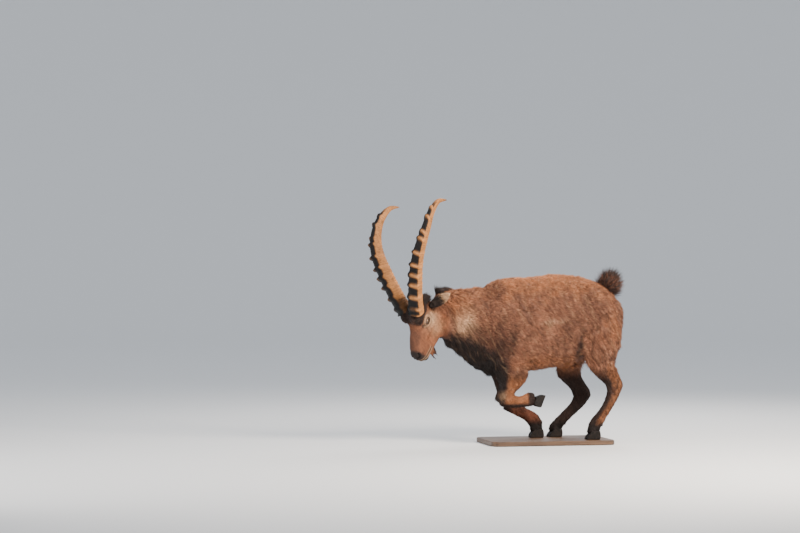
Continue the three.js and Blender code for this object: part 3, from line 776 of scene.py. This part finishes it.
def unwrap(points, ways):
    """Where a point of the skin lies on the unwrap."""
    rel = (points - SKIN_LOW) * UV_SCALE
    axis = chart_axis(ways)
    ahead = np.take_along_axis(ways, axis[:, None], 1)[:, 0] > 0
    right = points[:, 1] > 0
    hind = points[:, 0] > -0.05
    uv = np.empty((len(points), 2))
    side = axis == 1
    outer = ahead == right
    uv[side] = rel[side][:, [0, 2]] + np.stack([right * 0.5, np.where(outer, 0, 0.335)], 1)[side]
    front = axis == 0
    place = np.stack([0.15 * (ahead * 1 + hind * 2), np.full(len(points), 0.67)], 1)
    uv[front] = rel[front][:, [1, 2]] + place[front]
    top = axis == 2
    place = np.stack([np.full(len(points), 0.6), np.where(ahead, 0.68, 0.84)], 1)
    uv[top] = rel[top][:, [0, 1]] * TOP_SCALE + place[top]
    return np.clip(uv, 0.002, 0.998)


def unwrap_mesh(mesh):
    sizes = read(mesh.polygons, "loop_total", kind=np.int32)
    corner = read(mesh.loops, "vertex_index", kind=np.int32)
    at = np.repeat(read(mesh.polygons, "center", 3).astype(float), sizes, 0)
    ways = np.repeat(read(mesh.polygons, "normal", 3).astype(float), sizes, 0)
    # Each corner lies as far from its face's middle on the unwrap as the chart's scale says.
    off = coords(mesh)[corner] - at
    axis = chart_axis(ways)[:, None]
    flat = np.where(axis == 1, off[:, [0, 2]], off[:, [1, 2]])
    flat = np.where(axis == 2, off[:, [0, 1]] * TOP_SCALE, flat)
    uv = unwrap(at, ways) + flat * UV_SCALE
    layer = mesh.uv_layers.new(name=UV_NAME)
    layer.data.foreach_set("uv", uv.astype(np.float32).ravel())


# Tufts: many thin locks of hair in a few meshes
def surface_samples(mesh, count, density):
    """Random points on a mesh with their normals, more of them where density is high."""
    mesh.calc_loop_triangles()
    tris = read(mesh.loop_triangles, "vertices", 3, np.int32)
    co = coords(mesh)
    way = normals(mesh)
    a, b, c = (co[tris[:, k]] for k in range(3))
    area = np.linalg.norm(np.cross(b - a, c - a), axis=1) / 2
    weight = area * density((a + b + c) / 3)
    picked = rng.choice(len(tris), count, p=weight / weight.sum())
    u = rng.random(count)
    v = rng.random(count)
    over = u + v > 1
    u[over], v[over] = 1 - u[over], 1 - v[over]
    mix = np.stack([1 - u - v, u, v], 1)
    points = (co[tris[picked]] * mix[:, :, None]).sum(1)
    ways = unit((way[tris[picked]] * mix[:, :, None]).sum(1))
    return points, ways


def tufts(name, roots, out, lie, sizes, colours, parts, look, bend=0.0):
    """Closed tapered locks along lie, with (length, width) in sizes; one with more parts can bend."""
    length, width = sizes
    side = unit(np.cross(out, lie))
    over = np.cross(lie, side)
    rings = []
    for step in range(parts):
        t = step / parts
        middle = roots + lie * (length * t)[:, None] + out * (bend * length * t * t)[:, None]
        half = (width * (ROOT_HALF if step == 0 else BODY_HALF) * (1 - t) ** TUFT_TAPER)[:, None]
        high = half * TUFT_THICK
        rings += [middle - side * half, middle + side * half, middle + over * high]
    rings.append(roots + lie * length[:, None] + out * (bend * length)[:, None])
    each = parts * 3 + 1
    verts = np.stack(rings, 1)
    faces = [[0, 1, 2]]
    for step in range(parts - 1):
        low = step * 3
        for k in range(3):
            n = (k + 1) % 3
            faces += [[low + n, low + k, low + 3 + k], [low + n, low + 3 + k, low + 3 + n]]
    faces += [[each - 4 + (k + 1) % 3, each - 4 + k, each - 1] for k in range(3)]
    faces = np.array(faces)
    # Each lock is darker at its root, as painted shade deep in the coat, and lighter towards its tip
    steps = np.repeat(np.arange(parts) / parts, 3)
    shade = np.append(ROOT_SHADE + 0.5 * steps, TIP_SHADE)
    uv_root = unwrap(roots, out)
    turn = 2.4 * np.arange(each)
    patch = np.stack([np.cos(turn), np.sin(turn)], 1) * UV_PATCH / 2
    for start in range(0, len(roots), PIECE_TUFTS):
        part = slice(start, start + PIECE_TUFTS)
        count = len(roots[part])
        all_faces = (faces[None] + (np.arange(count) * each)[:, None, None]).reshape(-1, 3)
        number = f"_{start // PIECE_TUFTS + 1}" if len(roots) > PIECE_TUFTS else ""
        piece = new_object(name + number, verts[part].reshape(-1, 3), all_faces)
        shaded = colours[part][:, None, :] * shade[None, :, None]
        set_colour(piece.data, shaded.reshape(-1, 3))
        uv = uv_root[part][:, None, :] + patch[None]
        corner = uv.reshape(-1, 2)[all_faces.ravel()]
        layer = piece.data.uv_layers.new(name=UV_NAME)
        layer.data.foreach_set("uv", np.clip(corner, 0, 1).astype(np.float32).ravel())
        piece.data.materials.append(look)
        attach(piece, "root")


def tuft_length(points):
    length = np.full(len(points), 0.025)
    z = points[:, 2]
    length += 0.011 * neck_share(points)
    length += 0.008 * fall(z, 0.42, 0.52)
    length -= 0.005 * ramp(z, 0.84, 0.9)
    length += (0.011 - length) * leg_share(points)
    head = head_share(points)
    h = to_head(points)
    face = 0.0125 - 0.0088 * ramp(h[:, 0], 0.1, 0.26)
    face -= 0.004 * bell((eye_ring(h) - 1) / 1.2) * eye_side(h)
    return length + (face - length) * head


def tuft_width(points):
    width = 0.0034 - 0.0014 * leg_share(points)
    return width + (0.0016 - width) * head_share(points)


def bare(points):
    """1 where no hair grows: the nose, the lips' edge, the lids and the eyes."""
    h = to_head(points)
    head = head_share(points)
    skin = fall(eye_ring(h), 1.15, 1.3) * eye_side(h)
    skin = np.maximum(skin, bell(curve_distance(h, NOSTRIL) / 0.007) * ramp(h[:, 0], 0.28, 0.29))
    skin = np.maximum(skin, ramp(h[:, 0], 0.298, 0.306))
    skin = np.maximum(skin, bell(curve_distance(h, MOUTH) / 0.003) * ramp(h[:, 0], 0.225, 0.235))
    return skin * head


def turned(lie, out, angle):
    """lie turned round out."""
    across = np.cross(out, lie)
    return lie * np.cos(angle)[:, None] + across * np.sin(angle)[:, None]


def lying(points, out, lift):
    """The way that each tuft points: along the coat's flow, raised from the skin by lift."""
    way = flow(points)
    way = unit(way - out * (way * out).sum(1)[:, None])
    angle = 0.3 * waves(points, 0.03, 31) + rng.normal(0, STRAY, len(points))
    way = turned(way, out, angle)
    return way * np.cos(lift)[:, None] + out * np.sin(lift)[:, None]


def make_coat(skin, look):
    def density(points):
        return (1 - bare(points)) / (tuft_length(points) ** 0.9 * tuft_width(points))

    points, out = surface_samples(skin.data, TUFTS, density)
    length = tuft_length(points) * rng.uniform(0.7, 1.2, TUFTS)
    width = tuft_width(points) * rng.uniform(0.7, 1.25, TUFTS)
    clump = waves(points, 0.035, 32)
    lift = 0.24 + 0.07 * clump - 0.1 * streaks(points, LOCK_SIZE, 24) + rng.normal(0, 0.07, TUFTS)
    lift = np.clip(lift, 0.06, 0.6)
    lie = lying(points, out, lift)
    colours = tint(points + lie * length[:, None] * 0.5)
    colours *= rng.uniform(0.78, 1.22, (TUFTS, 1)) * (1 + 0.1 * clump[:, None])
    tufts("coat", points - out * 0.0012, out, lie, (length, width), np.clip(colours, 0.002, 0.95), 1, look)


# Materials
def coat_material(name, roughness=0.62, grain=900.0, strength=0.25):
    made, tree, shader = material(name, Roughness=roughness, Specular_IOR_Level=0.3)
    fine = noise(tree, place_in(tree), grain, 3.0)
    tinted(tree, shader, spread(tree, fine, 0.82, 1.18))
    bumped(tree, shader, fine, strength)
    return made


def horn_material():
    made, tree, shader = material("horn", Specular_IOR_Level=0.22)
    place = place_in(tree)
    blots = noise(tree, place, 140.0, 6.0)
    tinted(tree, shader, spread(tree, blots, 0.62, 1.38))
    bumped(tree, shader, noise(tree, place, 520.0, 4.0), 0.35, 0.0015)
    tree.links.new(spread(tree, blots, 0.5, 0.72), shader.inputs["Roughness"])
    return made


def hoof_material():
    made, tree, shader = material("hoof", Roughness=0.65, Specular_IOR_Level=0.2)
    place = place_in(tree)
    settings = {"bands_direction": "Z"}
    rings = node(tree, "ShaderNodeTexWave", settings, Vector=place, Scale=60.0, Distortion=2.5, Detail=3.0)
    two_toned(tree, shader, noise(tree, place, 90.0, 5.0), (0.35, srgb(10, 8, 8)), (0.75, srgb(36, 28, 24)))
    bumped(tree, shader, rings.outputs["Fac"], 0.3)
    return made


def base_material():
    made, tree, shader = material("base_wood", Roughness=0.42)
    drawn_out = node(tree, "ShaderNodeMapping", Vector=place_in(tree), Scale=(1.5, 22, 22))
    grain = noise(tree, drawn_out.outputs["Vector"], 3.0, 8.0, Distortion=1.2)
    two_toned(tree, shader, grain, (0.3, srgb(58, 42, 32)), (0.75, srgb(110, 82, 60)))
    bumped(tree, shader, grain, 0.15)
    return made


def eye_material():
    made, tree, shader = material("eye", Roughness=0.08, Coat_Weight=1.0, Coat_Roughness=0.02)
    colour = node(tree, "ShaderNodeAttribute", {"attribute_name": TINT})
    tree.links.new(colour.outputs["Color"], shader.inputs["Base Color"])
    return made


# Eyes: a ball with a bulge over an amber iris, whose pupil is a level bar. Shares are of the radius.
IRIS = 0.56
IRIS_RIM = 0.85
PUPIL = (0.36, 0.13)


def make_eye(side, look):
    word = "left" if side == LEFT else "right"
    low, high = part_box(f"eye_{word}")
    centre = np.array((low + high) / 2)
    radius = (high.z - low.z) / 2
    verts, faces = ball_shape(72, 48)
    outward = unit((HEAD_RIGHT * side + HEAD_CROWN * 0.12 + HEAD_NOSE * 0.15)[None])[0]
    along = unit(np.cross(outward, [0, 0, 1.0])[None])[0]
    up = np.cross(along, outward)
    spun = verts[:, [0]] * along + verts[:, [1]] * up + verts[:, [2]] * outward
    across = np.hypot(verts[:, 0], verts[:, 1])
    front = verts[:, 2] > 0
    bulge = 1 + 0.05 * fall(across, 0.2, IRIS) * front
    points = centre + spun * (radius * 0.97 * bulge)[:, None]
    made = mixed_object(f"eyeball_{word}", points.tolist(), faces)
    colours = np.tile(srgb(60, 44, 36), (len(points), 1))
    in_iris = front & (across < IRIS)
    rays = 0.85 + 0.25 * np.sin(np.arctan2(verts[:, 1], verts[:, 0]) * 23)
    colours[in_iris] = srgb(112, 76, 36) * rays[in_iris, None]
    colours[in_iris & (across > IRIS * IRIS_RIM)] = srgb(48, 32, 18)
    pupil = front & (np.abs(verts[:, :2]) < PUPIL).all(1)
    colours[pupil] = 0.003
    set_colour(made.data, colours)
    made.data.materials.append(look)
    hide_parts(f"eye_{word}")
    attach(made, "root")


# Horns, in rows of the centre line's way ahead, outwards and up from HORN_FRAME
HORN_FRAME = np.array([-0.749, -0.050, FLOOR + 0.0004])
HORN_ROWS = [
    (0.001, 0.044, 0.685),
    (0.031, 0.070, 0.755),
    (0.057, 0.102, 0.834),
    (0.079, 0.134, 0.917),
    (0.089, 0.164, 0.985),
    (0.086, 0.190, 1.052),
    (0.070, 0.207, 1.125),
    (0.040, 0.208, 1.198),
    (-0.014, 0.200, 1.254),
    (-0.080, 0.194, 1.264),
]
HORN_ROLL = 0.1
HORN_TWIST = math.radians(18)
HORN_TIP = 0.0035
HORN_DEEP = 0.0365
HORN_WIDE = 0.0335
HORN_SQUARE = 0.62
FINE_RINGS = 74
BROAD_RINGS = 34
# Knobs: their places along a horn from 0 to 1, and how far each stands out
KNOB_PLACES = np.array([0.01, 0.065, 0.146, 0.23, 0.295, 0.366, 0.462, 0.57, 0.62, 0.727, 0.80])
KNOB_HEIGHTS = np.array([6, 10, 14, 17, 18, 18, 17, 13, 8, 11, 8]) / 1000
KNOB_SPREAD = 0.021
HORN_RINGS = 420
HORN_AROUND = 56


def smooth_rows(rows, places):
    """Rows read as one smooth curve at places from 0 to 1."""
    rows = np.array(rows)
    last = len(rows) - 1
    at = np.clip(places, 0, 1) * last
    i = np.minimum(at.astype(int), last - 1)
    t = (at - i)[:, None]
    a, b, c, d = (rows[np.clip(i + k, 0, last)] for k in (-1, 0, 1, 2))
    m0, m1 = (c - a) / 2, (d - b) / 2
    rise = 3 * t**2 - 2 * t**3
    return (1 - rise) * b + rise * c + (t**3 - 2 * t**2 + t) * m0 + (t**3 - t**2) * m1


def make_horn(side, look):
    word = "left" if side == LEFT else "right"
    right = np.array([HEAD_LEVEL[1], -HEAD_LEVEL[0], 0])
    draw = np.random.default_rng(40 + side)

    def centre(t):
        f, out, up = smooth_rows(HORN_ROWS, t).T
        up = up - side * HORN_ROLL * (out - HORN_ROWS[0][1])
        return HORN_FRAME + np.stack([f, out * side, up], 1) @ np.array([HEAD_LEVEL, right, [0, 0, 1]])

    t = np.linspace(0, 1, HORN_RINGS)
    middle = centre(t)
    way = unit(centre(np.minimum(t + 0.012, 1)) - centre(np.maximum(t - 0.012, 0)))
    plain = unit(np.cross(way, right))
    front = plain * math.cos(HORN_TWIST) - side * np.cross(way, plain) * math.sin(HORN_TWIST)
    across = np.cross(way, front)
    point = np.sqrt(np.maximum(0, 1 - t**24))
    taper = 1 - 0.12 * t - 0.88 * t**3.2
    deep = (HORN_TIP + HORN_DEEP * taper) * point
    wide = (HORN_TIP + HORN_WIDE * (1 - 0.75 * t - 0.25 * t**3)) * point
    turn = np.linspace(0, 2 * math.pi, HORN_AROUND, endpoint=False)
    c = np.cos(turn)
    s = np.sin(turn)
    facing = np.maximum(0, c)
    inner = np.maximum(0, s * side)
    # Each knob's crest bends back at the horn's edges, and stands a little out of line.
    wobble = 0.0025 * np.sin(turn * 2 + side)[None] + 0.0015 * np.sin(turn * 3 + t[:, None] * 60)
    place = t[:, None] + 0.010 * (1 - facing[None]) + wobble
    off = (place[:, :, None] - KNOB_PLACES) / KNOB_SPREAD
    # A knob rises steeply on its upper side and slopes away below.
    off = np.where(off > 0, off * 1.35, off * 0.85)
    each = KNOB_HEIGHTS * draw.uniform(0.88, 1.0, len(KNOB_PLACES)) * np.maximum(0, 1 - np.abs(off) ** 1.7)
    knob = each.max(2) * facing[None] ** 0.5
    crest = np.exp(-((np.abs(off).min(2) / 0.6) ** 2))
    fold = np.exp(-((off / 1.1) ** 2)).max(2) * fall(t, 0.5, 0.7)[:, None]
    fine = np.sin(place * 2 * math.pi * FINE_RINGS + 1.5 * np.sin(place * 90))
    broad = np.sin(place * 2 * math.pi * BROAD_RINGS + 2 * s[None])
    grooves = 0.0004 * fine + 0.001 * broad * fall(t, 0.45, 0.7)[:, None]
    grooves *= (1 - 0.6 * facing[None]) * taper[:, None]
    grooves += 0.003 * fold * (1 - facing[None]) * ramp(c, -0.8, 0.3)[None]
    cs = np.sign(c) * np.abs(c) ** HORN_SQUARE
    ss = np.sign(s) * np.abs(s) ** HORN_SQUARE
    narrow = 1 - 0.2 * np.maximum(0, -c)
    out_front = deep[:, None] * cs[None] + knob + grooves * c[None]
    out_side = wide[:, None] * (ss * narrow)[None] * (1 + knob * 6) + grooves * s[None]
    points = middle[:, None] + front[:, None] * out_front[:, :, None]
    points = points + across[:, None] * out_side[:, :, None]
    poles = [middle[0] - way[0] * 0.006, middle[-1] + way[-1] * 0.008]
    verts = np.concatenate([points.reshape(-1, 3), poles])
    k = np.arange(HORN_AROUND)
    n = (k + 1) % HORN_AROUND
    rows = np.arange(HORN_RINGS - 1)[:, None] * HORN_AROUND
    over = rows + HORN_AROUND
    quads = np.stack([rows + k, rows + n, over + n, over + k], -1).reshape(-1, 4)
    first = HORN_RINGS * HORN_AROUND
    tris = np.concatenate([
        quads[:, [0, 1, 2]],
        quads[:, [0, 2, 3]],
        np.stack([np.full_like(k, first), n, k], 1),
        np.stack([np.full_like(k, first + 1), first - HORN_AROUND + k, first - HORN_AROUND + n], 1),
    ])
    made = new_object(f"horn_{word}_sheath", verts, tris)
    bm = bmesh.new()
    bm.from_mesh(made.data)
    bmesh.ops.recalc_face_normals(bm, faces=bm.faces)
    bm.to_mesh(made.data)
    bm.free()
    # Painted light and shade: the front face is painted dark as shade, more so towards the inner side; the
    # crests of its knobs are painted light as a highlight, which fades towards the inner side and is weaker
    # on the right horn
    light = srgb(182, 122, 70)
    dark = srgb(14, 9, 8)
    face = ramp(facing + 0.2 * ramp(inner, 0, 0.3), 0.42, 0.7)[None] * fall(t, 0.80, 0.9)[:, None]
    crest_highlight = crest * fall(inner, -0.05, 0.3)[None] * (1 if side == LEFT else 0.3)
    blots = waves(verts[:-2], 0.05, 51).reshape(place.shape)
    fibres = waves(verts[:-2], 0.012, 52).reshape(place.shape)
    between = 1 - fold * (1 - face)
    sides = 0.2 * (0.5 + 0.5 * fine) + 0.16 * between + 0.2 * np.maximum(0, fibres)
    shade = face * (1 - 0.8 * crest_highlight) + (1 - face) * sides
    shade = np.clip(shade + 0.25 * ramp(t, 0.86, 1.0)[:, None], 0, 1)
    colours = light + shade[:, :, None] * (dark - light)
    colours *= (1 + 0.12 * blots)[:, :, None]
    # painted shade on the inner side of the root
    root_shade = fall(t, 0.09, 0.14)[:, None] * fall(-s * side, 0.2, 0.7)[None]
    colours *= (1 - 0.8 * root_shade)[:, :, None]
    flat = np.concatenate([colours.reshape(-1, 3), [light * 0.5, light * 0.5]])
    set_colour(made.data, np.clip(flat, 0.002, 0.9))
    made.data.materials.append(look)
    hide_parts(f"horn_{word}")
    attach(made, "root")


# Ears: the frame's cups, made smooth, with hair outside and longer hair inside, pale near the tip
EAR_HAIRS = 5200
EAR_ROOT = (0.041, 0.056, 0.079)
EAR_TIP = (-0.038, 0.159, 0.058)


def make_ear(side, look):
    word = "left" if side == LEFT else "right"
    ear = remeshed(f"ear_{word}_skin", [f"ear_{word}"], 0.0021, 0.0003)
    mesh = ear.data
    smoother = Smoother(mesh)
    set_coords(mesh, smoother.relax(coords(mesh), 12, 0.6, 0.3))
    set_colour(mesh, ear_tint(normals(mesh), side))
    unwrap_mesh(mesh)
    mesh.materials.append(look)
    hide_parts(f"ear_{word}")
    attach(ear, "root")
    points, out = surface_samples(mesh, EAR_HAIRS, lambda p: np.ones(len(p)))
    root, tip = from_head(np.array([EAR_ROOT, EAR_TIP]) * [1, side, 1])
    along = unit((tip - root)[None])[0]
    way = along - out * (out @ along)[:, None]
    way = unit(way + rng.normal(0, 0.12, (EAR_HAIRS, 3)))
    inner = ear_inside(out, side)
    lie = unit(way + out * (0.18 + 0.3 * inner)[:, None])
    length = (0.008 + 0.010 * inner) * rng.uniform(0.7, 1.2, EAR_HAIRS)
    width = np.full(EAR_HAIRS, 0.0013)
    colours = ear_tint(out, side)
    tipward = ((points - root) @ along) / np.linalg.norm(tip - root)
    pale = (rng.random(EAR_HAIRS) < inner * ramp(tipward, 0.45, 0.75) * 0.75)[:, None]
    colours = np.where(pale, CREAM * 0.9, colours) * rng.uniform(0.8, 1.2, (EAR_HAIRS, 1))
    tufts(f"ear_{word}_hair", points - out * 0.0006, out, lie, (length, width), colours, 1, look)


def ear_inside(out, side):
    """1 where an ear's surface faces the way that the ear opens."""
    opens = unit(np.array([[0.27, side * 0.5, 0.75]]) @ HEAD_AXES)[0]
    return ramp(out @ opens, 0.1, 0.6)


def ear_tint(out, side):
    inner = ear_inside(out, side)[:, None]
    # The inside of the cup is painted dark as shade.
    outer_colour = srgb(150, 106, 76)
    return outer_colour + inner * (srgb(34, 23, 20) - outer_colour)


# Long hair in places: each is a set of locks on points of the skin
def long_hair(name, skin, count, where, way, sizes, colour, look, lift, bend=-0.25):
    """Locks that grow where `where` is high and point along way, with (length, width) in sizes."""
    points, out = surface_samples(skin.data, count, lambda p: where(p) ** 2 + 1e-9)
    keep = where(points) > 0.15
    points, out = points[keep], out[keep]
    number = len(points)
    lie = unit(np.tile(np.array(way, float), (number, 1)))
    flat = unit(lie - out * (lie * out).sum(1)[:, None])
    lie = unit(flat * math.cos(lift) + out * math.sin(lift) + 0.5 * lie)
    lie = unit(lie + rng.normal(0, STRAY, (number, 3)))
    length = sizes[0] * rng.uniform(0.65, 1.15, number) * np.clip(where(points) + 0.25, 0, 1)
    width = sizes[1] * rng.uniform(0.7, 1.2, number)
    colours = np.clip(colour * rng.uniform(0.7, 1.3, (number, 1)), 0.002, 0.9)
    tufts(name, points - out * 0.002, out, lie, (length, width), colours, 3, look, bend)


def make_long_hair(skin, look):
    dark = srgb(34, 23, 20)
    down_back = (0.35, 0, -0.9)
    down_chin = HEAD_NOSE * 0.35 - HEAD_CROWN * 0.9

    def chin(p):
        return spot(to_head(p), (0.235, 0, -0.05), (0.022, 0.016, 0.03))

    def crest(p):
        return spot(p, (-0.60, 0.015, 0.825), (0.08, 0.045, 0.04))

    def poll(p):
        return spot(to_head(p), (0.03, 0, 0.115), (0.06, 0.05, 0.045))

    def throat(p):
        return spot(p, (-0.545, 0.01, 0.59), (0.09, 0.06, 0.07)) * (1 - head_share(p))

    def chest(p):
        x, _, z = p.T
        along = ramp(-x, 0.26, 0.34) * ramp(x, -0.56, -0.52)
        return along * fall(z, 0.44, 0.5) * (1 - leg_share(p) * 0.5)

    def belly(p):
        return spot(p * [1, 0.6, 1], (0.10, 0, 0.425), (0.09, 0.06, 0.04))

    long_hair("beard", skin, 900, chin, down_chin, (0.032, 0.0026), srgb(58, 38, 30), look, 0.9, 0.15)
    long_hair("nape_crest", skin, 2600, crest, (0.9, 0, 0.45), (0.05, 0.003), dark, look, 0.5, -0.2)
    long_hair("poll_hair", skin, 1800, poll, (0.75, 0, 0.6), (0.062, 0.003), dark, look, 0.6, -0.2)
    long_hair("throat_fringe", skin, 3200, throat, down_back, (0.05, 0.0036), dark, look, 0.4)
    long_hair("chest_fringe", skin, 4200, chest, down_back, (0.05, 0.0038), srgb(28, 20, 18), look, 0.4)
    long_hair("belly_tuft", skin, 1500, belly, (0.6, 0, -0.75), (0.044, 0.0036), TAN * 0.6, look, 0.35)


# Tail: a short dock under a raised brush of dark hair
TAIL_ROOT = np.array([0.338, 0.0, 0.806])
TAIL_UP = np.array([0.28, 0, 0.96])
TAIL_BACK = np.array([0.96, 0, -0.28])
TAIL_HAIRS = 3400


def make_tail(look):
    ball, faces = ball_shape(48, 32)
    ball = ball * (0.026, 0.022, 0.052) + (0, 0, 0.018)
    points = TAIL_ROOT + ball @ np.array([TAIL_BACK, [0, 1, 0], TAIL_UP])
    dock = mixed_object("tail_dock", points.tolist(), faces)
    mesh = dock.data
    set_colour(mesh, np.tile(srgb(50, 32, 26), (len(points), 1)))
    mesh.materials.append(look)
    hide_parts("tail")
    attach(dock, "root")

    def height(points):
        return (points - TAIL_ROOT) @ TAIL_UP

    points, out = surface_samples(mesh, TAIL_HAIRS, lambda p: ramp(height(p), -0.01, 0.02) + 0.05)
    high = ramp(height(points), -0.01, 0.07)
    lie = TAIL_BACK * 0.3 + out * (1.05 - 0.3 * high)[:, None] + TAIL_UP * (0.55 + 0.5 * high)[:, None]
    lie = unit(lie + rng.normal(0, 0.17, (TAIL_HAIRS, 3)))
    length = rng.uniform(0.035, 0.095, TAIL_HAIRS) * (0.82 + 0.18 * high)
    width = rng.uniform(0.0028, 0.0046, TAIL_HAIRS)
    warm = bell((height(points) - 0.03) / 0.02) * (rng.random(TAIL_HAIRS) < 0.5)
    colours = TAIL_DARK + warm[:, None] * (srgb(120, 70, 44) - TAIL_DARK) * 0.4
    colours *= rng.uniform(0.6, 1.5, (TAIL_HAIRS, 1))
    tufts("tail_brush", points - out * 0.003, out, lie, (length, width), colours, 3, look, 0.08)


def make_all():
    coat = coat_material("coat_hair")
    skin_look = coat_material("coat_skin", 0.8, 500.0, 0.5)
    skin = make_skin()
    mesh = skin.data
    set_colour(mesh, np.clip(tint(coords(mesh)) * 0.62, 0.002, 0.9))
    unwrap_mesh(mesh)
    set_look(skin, skin_look)
    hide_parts(*SKIN_NODES)
    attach(skin, "root")
    make_coat(skin, coat)
    make_long_hair(skin, coat)
    make_tail(coat)
    horn = horn_material()
    eye = eye_material()
    for side in (LEFT, RIGHT):
        make_horn(side, horn)
        make_eye(side, eye)
        make_ear(side, coat)
    hoof = hoof_material()
    for name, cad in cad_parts.items():
        if "_claw_" in name:
            set_look(cad, hoof)
    set_look(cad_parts["stand_base"], base_material())


make_all()
